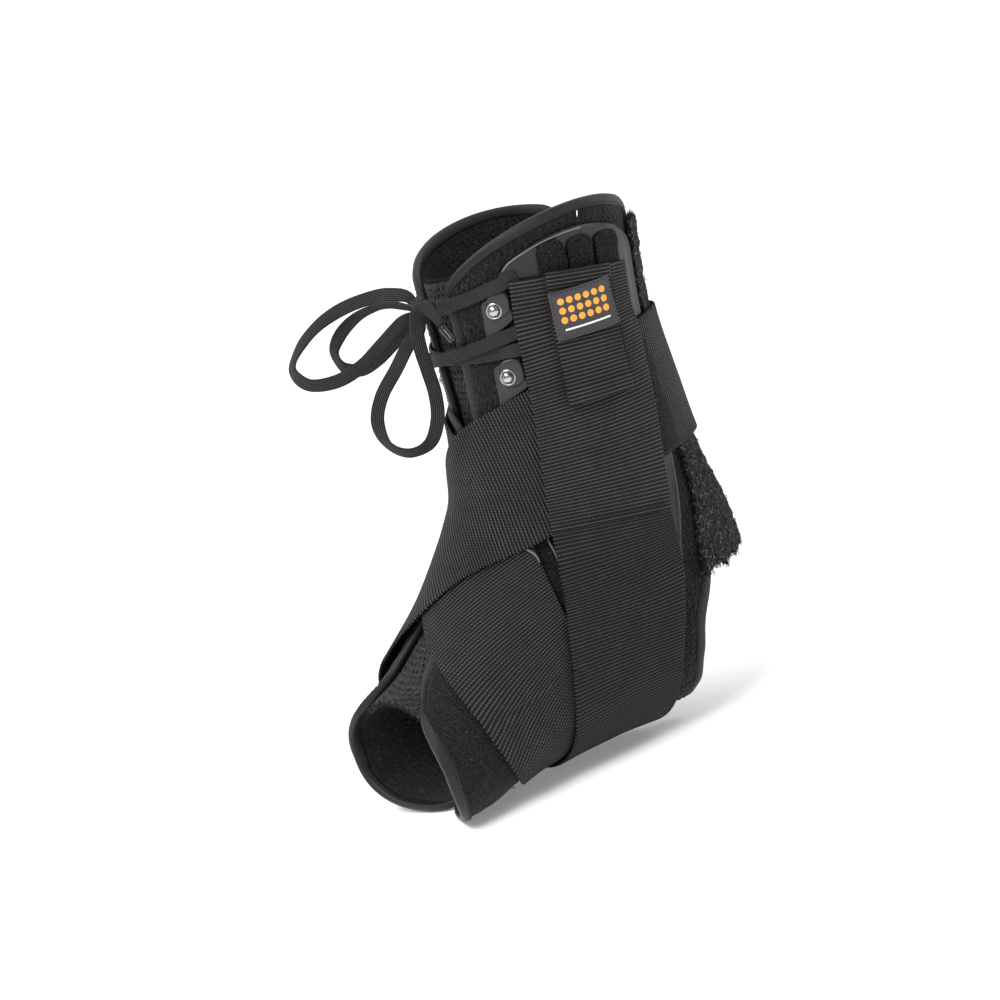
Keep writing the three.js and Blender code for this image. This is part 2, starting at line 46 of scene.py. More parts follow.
# Driving sizes of the form, and the thickness of each layer
LENGTH, HEIGHT, WIDTH, SETBACK = 182.0, 217.0, 86.0, 52.0
SKIN, PANEL, WEB, PLATE, HOOK, PATCH, TAB, LACE = 0.4, 3.2, 1.5, 2.0, 1.3, 1.2, 1.6, 1.2
GAP = 0.55
STRAP_REST = 0.35

# Heights over the form at which layers start
FIRST = SKIN + PANEL + GAP
UNDER = FIRST + STRAP_REST
UPPER = UNDER + WEB + GAP
OVER_PLATE = FIRST + PLATE + GAP
OVER_LACE = FIRST + LACE + GAP
OVER_PATCH = OVER_PLATE + WEB + PATCH + 2 * GAP
OVER_HOOKS = OVER_PLATE + HOOK + GAP
PLATE_WEB = OVER_PLATE + WEB + GAP
OVER_TAB = FIRST + TAB + GAP
BACK_SINK = 3.0
ELASTIC = 2.0

# Widths of the straps and laces, and the pitch of each webbing's ribs
CROSS_WIDTH, LIFT_WIDTH, PATCH_WIDTH, TAB_WIDTH, LABEL_WIDTH = 57, 54, 46, 29, 20
LACE_WIDTH, BOW_WIDTH, BOW_THICK = 5.6, 5.8, 1.4
CROSS_PITCH, ELASTIC_PITCH, LIFT_PITCH, TAB_PITCH = 1.46, 1.42, 1.5, 1.54
TONGUE_CELL = 3.4
MIRROR = np.array([-1, 1, 1])

# Sections of the form from the rim to the toe: forward and up of the front point, the same of the back point,
# half width, all as shares of the driving sizes, and the exponent that squares the back half
SECTIONS = np.array([
    [0.538, 1.000, 0.040, 1.000, 0.930, 2.0],
    [0.544, 0.820, 0.078, 0.820, 0.872, 2.0],
    [0.560, 0.659, 0.072, 0.645, 0.826, 2.0],
    [0.602, 0.548, 0.056, 0.488, 0.814, 2.0],
    [0.646, 0.493, 0.018, 0.323, 0.849, 2.0],
    [0.690, 0.452, 0.022, 0.101, 0.860, 2.1],
    [0.734, 0.410, 0.220, 0.046, 0.837, 2.3],
    [0.777, 0.369, 0.473, 0.055, 0.849, 2.6],
    [0.830, 0.327, 0.692, 0.051, 0.884, 2.8],
    [0.901, 0.276, 0.868, 0.023, 0.953, 3.0],
    [0.989, 0.240, 1.000, 0.009, 1.000, 3.0],
])


# ---- the form inside the brace ----
def table(rows, place):
    """Rows of a table at places between its rows, on a smooth curve through them."""
    rows = np.asarray(rows, float)
    if rows.ndim == 1:
        return table(rows[:, None], place)[..., 0]
    ext = np.vstack([2 * rows[0] - rows[1], rows, 2 * rows[-1] - rows[-2]])
    place = np.asarray(place, float)
    i = np.clip(np.floor(place).astype(int), 0, len(rows) - 2)
    u = (place - i)[..., None]
    a, b, c, d = ext[i], ext[i + 1], ext[i + 2], ext[i + 3]
    return 0.5 * (2 * b + (c - a) * u + (2 * a - 5 * b + 4 * c - d) * u**2 + (3 * b - a - 3 * c + d) * u**3)


def signed_power(value, power):
    """A power of a value's size, with the value's sign."""
    return np.sign(value) * np.abs(value) ** power


def form_point(s, t):
    """Points of the form at places."""
    s, t = np.broadcast_arrays(np.asarray(s, float), np.asarray(t, float))
    fy, fz, by, bz, half, exponent = np.moveaxis(table(SECTIONS, s), -1, 0)
    cosine, sine = np.cos(np.radians(t)), np.sin(np.radians(t))
    exponent = np.where(cosine >= 0, 2.0, exponent)
    along = signed_power(cosine, 2 / exponent)
    forward = ((fy + by) / 2 + along * (fy - by) / 2) * LENGTH
    height = ((fz + bz) / 2 + along * (fz - bz) / 2) * HEIGHT
    return np.stack([signed_power(sine, 2 / exponent) * half * WIDTH / 2, SETBACK - forward, height], -1)


def slopes(s, t):
    """Change of the form's point with s and with t."""
    ds, dt = 0.004, 0.3
    a = (form_point(s + ds, t) - form_point(s - ds, t)) / (2 * ds)
    b = (form_point(s, t + dt) - form_point(s, t - dt)) / (2 * dt)
    return a, b


def unit(v):
    return v / np.maximum(np.linalg.norm(v, axis=-1, keepdims=True), 1e-12)


def dot(a, b):
    return (a * b).sum(-1)


def normal(s, t):
    a, b = slopes(s, t)
    return unit(np.cross(a, b))


def over(s, t, height):
    """Points at a height over the form."""
    return form_point(s, t) + normal(s, t) * np.asarray(height, float)[..., None]


def step_place(s, t, step):
    """The place that a small step in space leads to."""
    a, b = slopes(s, t)
    aa, ab, bb = dot(a, a), dot(a, b), dot(b, b)
    xa, xb = dot(a, step), dot(b, step)
    scale = aa * bb - ab * ab
    return s + (xa * bb - xb * ab) / scale, t + (xb * aa - xa * ab) / scale


def walk(s, t, heading, distance, height, longest=2.5):
    """The place reached by going straight on over the form, and the heading there."""
    steps = max(1, math.ceil(distance / longest))
    for _ in range(steps):
        n = normal(s, t)
        heading = unit(heading - n * dot(heading, n)[..., None])
        target = over(s, t, height) + heading * distance / steps
        for _ in range(3):
            s, t = step_place(s, t, target - over(s, t, height))
    return s, t, heading


def run_length(line):
    """Distance along a line of points, from 0 at its start."""
    return np.concatenate([[0], np.cumsum(np.linalg.norm(np.diff(line, axis=0), axis=1))])


def even_line(line, run, at):
    """Points of a line at distances along it."""
    return np.stack([np.interp(at, run, line[:, k]) for k in range(3)], -1)


def profile(rows, place):
    """Value of [place, value] rows, easing from each row to the next."""
    rows = np.asarray(rows, float)
    place = np.asarray(place, float)
    x = np.clip(place, rows[0, 0], rows[-1, 0])
    i = np.clip(np.searchsorted(rows[:, 0], x, side="right") - 1, 0, len(rows) - 2)
    share = np.clip((x - rows[i, 0]) / (rows[i + 1, 0] - rows[i, 0]), 0, 1)
    return rows[i, 1] + (rows[i + 1, 1] - rows[i, 1]) * share * share * (3 - 2 * share)


def waves(p, size, seed=0, octaves=2):
    """Smooth noise in 3-D from a few sine waves, about -1 to 1."""
    r = np.random.default_rng(seed)
    total, weight = 0, 0
    for k in range(octaves):
        for _ in range(4):
            direction = unit(r.normal(size=3))
            total = total + 0.5**k * np.sin(p @ direction * (2 * np.pi * 2**k / size) + r.uniform(0, 6.3))
        weight += 0.5**k * 2
    return total / weight


# ---- materials ----
class Look:
    """A procedural material, with short ways to its nodes. UVs are in units of 100 mm."""

    def __init__(self, name):
        self.material = bpy.data.materials.new(name)
        self.material.use_nodes = True
        self.tree = self.material.node_tree
        self.tree.nodes.clear()
        self.shader = self.new("ShaderNodeBsdfPrincipled")
        out = self.new("ShaderNodeOutputMaterial")
        self.link(self.shader.outputs[0], out.inputs["Surface"])
        self.coordinates = self.new("ShaderNodeTexCoord")

    def new(self, kind, **values):
        node = self.tree.nodes.new(kind)
        for key, value in values.items():
            setattr(node, key, value)
        return node

    def link(self, a, b):
        self.tree.links.new(a, b)

    def put(self, socket, value):
        """Link or set a socket; three numbers are a colour."""
        if isinstance(value, tuple) and len(value) == 3:
            value = (*value, 1.0)
        if isinstance(value, bpy.types.NodeSocket):
            self.link(value, socket)
        else:
            socket.default_value = value

    def math(self, operation, a, b=0.0, c=0.0):
        node = self.new("ShaderNodeMath", operation=operation)
        for socket, value in zip(node.inputs, (a, b, c)):
            self.put(socket, value)
        return node.outputs[0]

    def mul(self, a, b):
        return self.math("MULTIPLY", a, b)

    def add(self, a, b):
        return self.math("ADD", a, b)

    def sub(self, a, b):
        return self.math("SUBTRACT", a, b)

    def div(self, a, b):
        return self.math("DIVIDE", a, b)

    def line(self, a, slope, start):
        """slope times a, and start added."""
        return self.math("MULTIPLY_ADD", a, slope, start)

    def uv(self):
        """u and v in millimetres."""
        split = self.new("ShaderNodeSeparateXYZ")
        self.link(self.coordinates.outputs["UV"], split.inputs[0])
        return self.mul(split.outputs[0], 100), self.mul(split.outputs[1], 100)

    def noise(self, size, detail=2.0, rough=0.5):
        """Noise from 0 to 1 with features of a size in millimetres."""
        node = self.new("ShaderNodeTexNoise")
        self.link(self.coordinates.outputs["Object"], node.inputs["Vector"])
        node.inputs["Scale"].default_value = 1000 / size
        node.inputs["Detail"].default_value = detail
        node.inputs["Roughness"].default_value = rough
        return node.outputs[0]

    def cells(self, size):
        """Distance from the middles of scattered cells of a size in millimetres."""
        node = self.new("ShaderNodeTexVoronoi")
        self.link(self.coordinates.outputs["Object"], node.inputs["Vector"])
        node.inputs["Scale"].default_value = 1000 / size
        return node.outputs["Distance"]

    def wave(self, phase):
        """0 to 1 over each whole turn of phase."""
        turn = self.mul(phase, 2 * math.pi)
        return self.line(self.math("COSINE", turn), 0.5, 0.5)

    def fit(self, value, low, high, to_low=0.0, to_high=1.0):
        """A value from low to high, eased to another range."""
        node = self.new("ShaderNodeMapRange", interpolation_type="SMOOTHSTEP")
        for k, v in enumerate((value, low, high, to_low, to_high)):
            self.put(node.inputs[k], v)
        return node.outputs[0]

    def mix(self, factor, a, b):
        node = self.new("ShaderNodeMix", data_type="RGBA")
        self.put(node.inputs[0], factor)
        self.put(node.inputs[6], a)
        self.put(node.inputs[7], b)
        return node.outputs[2]

    def finish(self, color, roughness, height, depth, **sockets):
        """depth is how far the bump goes, in millimetres."""
        self.put(self.shader.inputs["Base Color"], color)
        self.put(self.shader.inputs["Roughness"], roughness)
        for name, value in sockets.items():
            self.shader.inputs[name.replace("_", " ")].default_value = value
        bump = self.new("ShaderNodeBump")
        bump.inputs["Distance"].default_value = depth / 1000
        self.link(height, bump.inputs["Height"])
        self.link(bump.outputs[0], self.shader.inputs["Normal"])
        return self.material


def webbing(name, pitch, thread=0.62, rib_top_highlight=(0.082, 0.075, 0.083), dots=0.55, lean=0.5):
    """Ribbed webbing: ribs across the strap, each laid from slanting threads."""
    k = Look(name)
    u, v = k.uv()
    x = k.div(u, pitch)
    rib = k.wave(x)
    # thread and lean are the pitch of the threads across the strap and their slant over a rib
    slant = k.add(k.div(v, thread), k.mul(x, lean))
    slant = k.add(slant, k.mul(k.noise(5, 1), 0.5))
    threads = k.wave(slant)
    fine = k.wave(k.mul(x, 3.0))
    height = k.add(k.mul(rib, 0.45), k.mul(threads, 0.4))
    height = k.add(height, k.add(k.mul(fine, 0.12), k.mul(k.noise(0.4, 2), 0.3)))
    # colour darker in the grooves and lighter on the rib tops and thread crowns: painted shade and painted
    # highlight over the webbing's own near black, with a noise for its uneven tone
    tone = k.mul(k.fit(rib, 0.5, 1.02, 0.03), k.line(threads, dots, 1 - dots))
    tone = k.mul(tone, k.line(k.noise(11, 4, 0.6), 1.2, 0.3))
    color = k.mix(tone, (0.0016, 0.0014, 0.0017), rib_top_highlight)
    return k.finish(color, 0.6, height, 0.34, Specular_IOR_Level=0.18, Sheen_Weight=0.02, Sheen_Roughness=0.5)


def spacer_mesh(name, pitch=3.1, base=(0.0165, 0.015, 0.0175), hole_shade=(0.0013, 0.0012, 0.0015), hole=0.9,
                fluff=1.0):
    """Soft knitted face with rows of small holes, brushed so that it fluffs."""
    k = Look(name)
    u, v = k.uv()
    f = 4 * math.pi / (math.sqrt(3) * pitch)
    # three waves at 60 degrees make a lattice of holes, shifted a little by noise
    shift = k.line(k.noise(6, 1), 0.9, -0.45)
    u = k.add(u, shift)
    v = k.sub(v, shift)
    a = k.math("COSINE", k.mul(u, f))
    x = k.mul(u, -f / 2)
    y = k.mul(v, f * math.sqrt(3) / 2)
    b = k.math("COSINE", k.add(x, y))
    c = k.math("COSINE", k.sub(x, y))
    lattice = k.div(k.add(k.add(a, b), c), 3)
    holes = k.mul(k.fit(lattice, 0.3, 0.85), hole)
    holes = k.mul(holes, k.fit(k.noise(9, 2), 0.35, 0.6, 0.25))
    fuzz = k.add(k.mul(k.noise(0.8, 3, 0.65), 0.6), k.mul(k.cells(0.9), 0.5))
    height = k.sub(k.mul(fuzz, 0.75 * fluff), holes)
    # darker in the holes, painted shade in the recesses, and varied with the fuzz and a noise
    tone = k.mul(k.sub(1.0, holes), k.fit(fuzz, 0.3, 0.9, 0.1, 1.3))
    tone = k.mul(tone, k.line(k.noise(4, 3, 0.6), 1.5, 0.25))
    color = k.mix(tone, hole_shade, base)
    specks = k.mul(k.fit(k.noise(0.9, 2, 0.6), 0.6, 0.72), k.fit(k.noise(3.5, 2), 0.4, 0.65))
    color = k.mix(k.mul(specks, 0.7), color, tuple(5.5 * c for c in base))
    return k.finish(color, 0.9, height, 0.75, Specular_IOR_Level=0.15, Sheen_Weight=0.08,
                    Sheen_Roughness=0.45)


def tape(name, pitch=0.75):
    """Smooth binding tape with a fine slanting weave."""
    k = Look(name)
    u, v = k.uv()
    twill = k.wave(k.div(k.add(u, v), pitch))
    height = k.add(k.mul(twill, 0.5), k.mul(k.noise(1.6, 3), 0.8))
    tone = k.line(k.noise(7, 3), 0.6, 0.7)
    color = k.mix(k.mul(tone, k.line(twill, 0.25, 0.75)), (0.003, 0.0028, 0.0033), (0.0105, 0.0095, 0.0108))
    return k.finish(color, 0.42, height, 0.12, Specular_IOR_Level=0.3, Sheen_Weight=0.02)


def knit(name):
    """Knitted elastic pile, in rows, with pale thread ends."""
    k = Look(name)
    u, v = k.uv()
    rows = k.wave(k.div(k.add(v, k.mul(k.noise(5, 2), 1.2)), 1.9))
    loops = k.cells(0.8)
    fluff = k.noise(0.9, 4, 0.7)
    height = k.add(k.mul(rows, 0.35), k.add(loops, fluff))
    tone = k.mul(k.fit(fluff, 0.35, 0.72), k.line(rows, 0.5, 0.6))
    color = k.mix(tone, (0.0008, 0.0008, 0.001), (0.027, 0.0247, 0.029))
    specks = k.mul(k.fit(k.noise(1.1, 2, 0.6), 0.53, 0.64), k.fit(k.noise(4, 2), 0.36, 0.55))
    color = k.mix(k.mul(specks, 0.85), color, (0.13, 0.122, 0.136))
    return k.finish(color, 0.92, height, 0.7, Specular_IOR_Level=0.12, Sheen_Weight=0.06, Sheen_Roughness=0.5)


def hooks_look(name):
    """Hook tape: rows of small stiff hooks on a dark ground."""
    k = Look(name)
    dots = k.cells(0.72)
    speck = k.noise(0.5, 3, 0.7)
    height = k.sub(k.mul(speck, 0.6), dots)
    color = k.mix(k.fit(k.sub(speck, dots), -0.25, 0.35), (0.001, 0.001, 0.0013), (0.024, 0.0235, 0.026))
    return k.finish(color, 0.7, height, 0.6, Specular_IOR_Level=0.15)


def plastic_look(name, color=(0.013, 0.012, 0.0135), rough=0.26):
    """Moulded plastic with a light grain and scuffs."""
    k = Look(name)
    grain = k.noise(0.5, 2)
    scuff = k.noise(11, 4, 0.6)
    height = k.add(k.mul(grain, 0.4), k.mul(scuff, 0.5))
    shine = k.fit(scuff, 0.3, 0.7, rough - 0.06, rough + 0.12)
    dark = tuple(0.75 * c for c in color)
    return k.finish(k.mix(scuff, dark, color), shine, height, 0.05, Specular_IOR_Level=0.4)


def leather_look(name):
    """Coated fabric of the lace tabs, with a fine grain."""
    k = Look(name)
    grain = k.cells(0.55)
    stain = k.noise(4, 3)
    height = k.add(k.mul(grain, 0.5), k.mul(stain, 0.6))
    color = k.mix(stain, (0.018, 0.0168, 0.0185), (0.032, 0.03, 0.033))
    return k.finish(color, 0.36, height, 0.08, Specular_IOR_Level=0.4, Sheen_Weight=0.04)


def lace_look(name, ribs=7):
    """Flat woven lace: lengthwise ribs crossed by a small herringbone."""
    k = Look(name)
    u, v = k.uv()
    lane = k.mul(v, ribs / LACE_WIDTH)
    rib = k.wave(lane)
    side = k.math("PINGPONG", lane, 1.0)
    bone = k.wave(k.add(k.div(u, 0.85), side))
    height = k.add(k.mul(rib, 0.7), k.mul(bone, 0.35))
    tone = k.mul(k.fit(rib, 0.1, 0.9), k.line(bone, 0.4, 0.6))
    tone = k.mul(tone, k.line(k.noise(8, 2), 0.6, 0.7))
    color = k.mix(tone, (0.003, 0.0029, 0.0032), (0.05, 0.0455, 0.05))
    return k.finish(color, 0.62, height, 0.3, Specular_IOR_Level=0.16, Sheen_Weight=0.03)


def metal_look(name):
    """Polished metal with faint wear."""
    k = Look(name)
    wear = k.noise(0.8, 4, 0.6)
    color = k.mix(wear, (0.3, 0.3, 0.31), (0.5, 0.5, 0.51))
    return k.finish(color, k.fit(wear, 0.3, 0.8, 0.14, 0.3), wear, 0.02, Metallic=1.0)


def rubber_look(name, color=(0.036, 0.033, 0.038), spread=0.25, rough=0.5):
    """Soft moulded rubber with a matt grain."""
    k = Look(name)
    grain = k.noise(0.45, 2)
    cloud = k.noise(6, 3)
    low = tuple(c * (1 - spread) for c in color)
    return k.finish(k.mix(cloud, low, color), rough, k.add(grain, k.mul(cloud, 0.4)), 0.05)


def thread_look(name, color):
    """Twisted sewing thread."""
    k = Look(name)
    twist = k.noise(0.25, 2)
    dark = tuple(0.6 * c for c in color)
    return k.finish(k.mix(twist, dark, color), 0.6, twist, 0.05, Specular_IOR_Level=0.25)


LOOKS = {
    "panel": spacer_mesh("panel_mesh"),
    "tongue": spacer_mesh("tongue_mesh", TONGUE_CELL, (0.034, 0.031, 0.034), (0.0012, 0.0012, 0.0014),
                          hole=1.3, fluff=0.5),
    "patch": spacer_mesh("loop_pile", 1.3, (0.014, 0.0135, 0.016), hole=0.5, fluff=1.3),
    "binding": tape("binding_tape"),
    "knit": knit("knitted_elastic"),
    "webbing": webbing("webbing_ribbed", CROSS_PITCH, 1.29, dots=0.68, lean=0.53),
    "webbing_inner": webbing("webbing_inner", CROSS_PITCH, -1.38, dots=0.68, lean=0.62),
    "lift": webbing("webbing_side", LIFT_PITCH, 0.7),
    "pull": webbing("webbing_pull_tab", TAB_PITCH, 0.7),
    "elastic": webbing("webbing_elastic", ELASTIC_PITCH, 0.8, (0.06, 0.055, 0.061), 0.7),
    "hooks": hooks_look("hook_tape"),
    "plastic": plastic_look("stay_plastic"),
    # a pale copy of the stay plastic, a painted highlight for the stay's edges
    "edge": plastic_look("stay_plastic_painted_highlight", (0.14, 0.134, 0.142), 0.25),
    "aglet": plastic_look("aglet_plastic", (0.02, 0.02, 0.021), 0.16),
    "tab": leather_look("tab_fabric"),
    "lace": lace_look("lace_woven"),
    "metal": metal_look("rivet_metal"),
    "label": rubber_look("label_rubber"),
    "orange": rubber_look("label_orange", (0.86, 0.36, 0.035), 0.12, 0.5),
    "white": rubber_look("label_white", (0.8, 0.78, 0.76), 0.06, 0.5),
    # a near-black cord colour, used as a painted shadow line round the pull tab
    "shadow_thread": thread_look("thread_painted_shadow", (0.006, 0.0058, 0.0064)),
    "thread": thread_look("thread_black", (0.022, 0.0215, 0.023)),
    "fibre": thread_look("loose_fibre", (0.014, 0.0133, 0.0155)),
}


# ---- meshes ----
def put_mesh(name, points, faces, look, uvs=None, replaces=()):
    """points in millimetres (N, 3), faces a list of (M, k) index arrays, uvs in millimetres (N, 2)."""
    title = f"{name}_dressed" if replaces else name
    mesh = bpy.data.meshes.new(title)
    faces = [np.asarray(f, np.int32) for f in faces]
    loops = np.concatenate([f.ravel() for f in faces])
    sizes = np.concatenate([np.full(len(f), f.shape[1], np.int32) for f in faces])
    mesh.vertices.add(len(points))
    mesh.vertices.foreach_set("co", (np.asarray(points, float) / 1000).astype(np.float32).ravel())
    mesh.loops.add(len(loops))
    mesh.loops.foreach_set("vertex_index", loops)
    mesh.polygons.add(len(sizes))
    mesh.polygons.foreach_set("loop_start", np.concatenate([[0], np.cumsum(sizes)[:-1]]).astype(np.int32))
    mesh.polygons.foreach_set("loop_total", sizes)
    mesh.polygons.foreach_set("use_smooth", np.full(len(sizes), True))
    if uvs is not None:
        layer = mesh.uv_layers.new(name="UVMap")
        layer.data.foreach_set("uv", (np.asarray(uvs, float)[loops] / 100).astype(np.float32).ravel())
    mesh.update(calc_edges=True)
    mesh.validate()
    mesh.materials.append(LOOKS[look])
    piece = bpy.data.objects.new(title, mesh)
    bpy.context.scene.collection.objects.link(piece)
    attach(piece, "root")
    if replaces:
        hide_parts(*replaces)
    return piece


def put_pair(node, points, faces, look, uvs, dressed=True):
    """The outer piece and its mirror image, in place of their nodes where dressed."""
    for side, x in (("outer", 1), ("inner", -1)):
        name = f"{side}_{node}"
        put_mesh(name, points * [x, 1, 1], [faces[:, ::x]], look, uvs, [name] if dressed else ())


def ring_faces(rings, sides):
    """Quads between rings of points, each with as many sides."""
    i, j = np.meshgrid(np.arange(rings - 1), np.arange(sides), indexing="ij")
    a, b = (i * sides + j).ravel(), (i * sides + (j + 1) % sides).ravel()
    return np.stack([a, b, b + sides, a + sides], 1)


def circle(sides):
    return 2 * np.pi * np.arange(sides) / sides


def turned_out(quads, points, inside):
    """The quads, with their faces turned over where the first one looks to the inside."""
    a, b, d = points[quads[0, [0, 1, 3]]]
    return quads if np.dot(np.cross(b - a, d - a), a - inside) >= 0 else quads[:, ::-1]


def grid_faces(rows, columns):
    i, j = np.meshgrid(np.arange(rows - 1), np.arange(columns - 1), indexing="ij")
    a = (i * columns + j).ravel()
    return np.stack([a, a + 1, a + columns + 1, a + columns], 1)


def layer_mesh(s, t, low, thick, edge, top=0.0):
    """Points and faces of a closed sheet over the form. edge is 0 on its rim and 1 inside, top adds to it."""
    rows, columns = s.shape
    p, n = form_point(s, t), normal(s, t)
    middle = low + thick / 2
    upper = p + n * (middle + thick / 2 * edge + top * np.minimum(edge, 1))[..., None]
    lower = p + n * (middle - thick / 2 * edge)[..., None]
    index = np.arange(rows * columns).reshape(rows, columns)
    inner = np.zeros((rows, columns), bool)
    inner[1:-1, 1:-1] = True
    below = index.copy()
    below[inner] = rows * columns + np.arange(inner.sum())
    points = np.concatenate([upper.reshape(-1, 3), lower[inner]])
    faces = grid_faces(rows, columns)
    e1, e2 = upper[:-1, 1:] - upper[:-1, :-1], upper[1:, :-1] - upper[:-1, :-1]
    if (dot(np.cross(e1, e2), n[:-1, :-1])).mean() < 0:
        faces = faces[:, ::-1]
    under = below.ravel()[faces[:, ::-1]]
    return points, np.concatenate([faces, under]), inner


def put_layer(name, s, t, low, thick, edge, uv, look, top=0.0, mirror=None):
    """A sheet over the form in place of a node, and its mirror image."""
    points, faces, inner = layer_mesh(s, t, low, thick, edge, top)
    uvs = np.concatenate([uv.reshape(-1, 2), uv[inner]])
    pieces = [put_mesh(name, points, [faces], look, uvs, [name])]
    if mirror:
        pieces.append(put_mesh(mirror, points * MIRROR, [faces[:, ::-1]], look, uvs, [mirror]))
    return pieces[0]


def rounding(distance, radius):
    """0 on a rim and 1 at the radius inside it, on a quarter circle."""
    x = np.clip(distance / radius, 0, 1)
    return np.sqrt(np.clip(1 - (1 - x) ** 2, 0, 1))


def spaced(total, step):
    """Places from 0 to total, close together at both ends."""
    rim = np.array([r for r in (0.0, 0.12, 0.35, 0.7, 1.2) if r < total / 2 - 0.1])
    inner = np.linspace(rim[-1], total - rim[-1], max(2, math.ceil((total - 2 * rim[-1]) / step) + 1))
    return np.concatenate([rim[:-1], inner, (total - rim[:-1])[::-1]])


def eased(rows, sigma):
    """Rows smoothed along their first axis, with both ends kept."""
    reach = min(int(3 * sigma) + 1, len(rows) - 1)
    kernel = np.exp(-0.5 * (np.arange(-reach, reach + 1) / sigma) ** 2)
    kernel /= kernel.sum()
    head = 2 * rows[:1] - rows[reach:0:-1]
    tail = 2 * rows[-1:] - rows[-2:-reach - 2:-1]
    longer = np.concatenate([head, rows, tail])
    return sum(w * longer[i:i + len(rows)] for i, w in enumerate(kernel))


def settle(s, t, target, height_at, tries=8):
    """Places on the form nearest to points in space, from places near them."""
    most_s, most_t, share = 0.08, 2.5, 0.8
    best = np.linalg.norm(target - over(s, t, height_at(s, t)), axis=-1)
    for _ in range(tries):
        a, b = step_place(s, t, target - over(s, t, height_at(s, t)))
        a = s + np.clip(a - s, -most_s, most_s) * share
        b = t + np.clip(b - t, -most_t, most_t) * share
        off = np.linalg.norm(target - over(a, b, height_at(a, b)), axis=-1)
        s, t = np.where(off < best, a, s), np.where(off < best, b, t)
        best = np.minimum(off, best)
    return s, t


def strap_places(route, width, height_at, step, across_step, slant):
    """Places of a strap's grid, and the distances along and across it. slant turns its middle rows."""
    turn_length = 30
    route = np.asarray(route, float)
    # the middle line, smoothed in space and put back on the form
    fine = np.linspace(0, len(route) - 1, 80 * (len(route) - 1) + 1)
    places = table(route, fine)
    line = over(places[:, 0], places[:, 1], height_at(places[:, 0], places[:, 1]))
    run = run_length(line)
    stations = np.linspace(0, run[-1], max(6, math.ceil(run[-1] / 3) + 1))
    share = np.interp(stations, run, fine)
    s0, t0 = table(route, share).T
    even = eased(even_line(line, run, stations), 2.6)
    s0, t0 = settle(s0, t0, even, height_at)
    tangent = eased(unit(np.gradient(even, axis=0)), 2.0)
    h0 = height_at(s0, t0)
    side = unit(np.cross(normal(s0, t0), tangent))
    # each column is reached from the one before it, to both sides
    across = spaced(width, across_step) - width / 2
    columns = {}
    for sign in (1, -1):
        s, t, heading, at = s0, t0, side * sign, 0.0
        for x in sorted({round(abs(float(a)), 6) for a in across if a * sign >= -1e-9}):
            if x > at:
                s, t, heading = walk(s, t, heading, x - at, h0)
                at = x
            columns[round(sign * x, 6) + 0.0] = (s, t)
    keys = [round(float(a), 6) + 0.0 for a in across]
    s = np.stack([columns[k][0] for k in keys], 1)
    t = np.stack([columns[k][1] for k in keys], 1)
    s, t = settle(s, t, eased(over(s, t, height_at(s, t)), 2.2), height_at)
    along = spaced(run[-1], step)
    near_end = np.clip(np.minimum(along, along[-1] - along) / turn_length, 0, 1)
    lean = slant * near_end * near_end * (3 - 2 * near_end)
    place = (along[:, None] - lean[:, None] * across) / (stations[1] - stations[0])
    rows = [(table(s[:, j], place[:, j]), table(t[:, j], place[:, j])) for j in range(len(across))]
    return np.stack([r[0] for r in rows], 1), np.stack([r[1] for r in rows], 1), along, across


def put_strap(name, route, width, thick, height_at, look, mirror=None, step=1.6, wave=0.0, seed=0,
              top_at=None, pitch=0.0, slant=0.0):
    """A strap on a route. pitch is for its ribs, wave lifts it here and there, top_at adds to its face."""
    if pitch:
        step = pitch / 4
    s, t, along, across = strap_places(route, width, height_at, step, 4.2 if pitch else 2.6, slant)
    a, c = np.meshgrid(along, across, indexing="ij")
    if pitch:
        # the rib ends stand out along both edges
        pull = 0.36 * (1 - np.abs(np.cos(np.pi * along / pitch)))[:, None]
        for at, to in ((slice(0, 4), 4), (slice(-4, None), -5)):
            s[:, at] += (s[:, [to]] - s[:, at]) * pull
            t[:, at] += (t[:, [to]] - t[:, at]) * pull
    rim = np.minimum(np.minimum(a, along[-1] - a), np.minimum(c + width / 2, width / 2 - c))
    edge = rounding(rim, thick * 0.6)
    low = height_at(s, t)
    if wave:
        low = low + wave * (0.5 + 0.5 * waves(form_point(s, t), 38, seed))
    top = 0.0 if top_at is None else top_at(a, c, along[-1])
    if pitch:
        rib = np.abs(np.cos(np.pi * a / pitch))
        edge = edge * (1 - 0.14 * (1 - rib) * (np.abs(c) > width / 2 - 1.5))
        top = top + 0.24 * np.sqrt(rib) - 0.24
    uv = np.stack([a, c + width / 2], -1)
    put_layer(name, s, t, low, thick, edge, uv, look, top, mirror)
    return s, t, along, across, low + thick


def bilinear(grid, rows, columns, a, c):
    """Values of a grid at distances along and across it."""
    i = np.clip(np.searchsorted(rows, a) - 1, 0, len(rows) - 2)
    j = np.clip(np.searchsorted(columns, c) - 1, 0, len(columns) - 2)
    x = (a - rows[i]) / (rows[i + 1] - rows[i])
    y = (c - columns[j]) / (columns[j + 1] - columns[j])
    return ((1 - x) * (1 - y) * grid[i, j] + x * (1 - y) * grid[i + 1, j] + (1 - x) * y * grid[i, j + 1]
            + x * y * grid[i + 1, j + 1])


def on_strap(strap, a, c, lift=0.0):
    """Place and height of points on a strap's face, at distances along and across it."""
    s, t, along, across, top = strap
    s, t, top = (bilinear(grid, along, across, a, c) for grid in (s, t, top))
    return s, t, top + lift


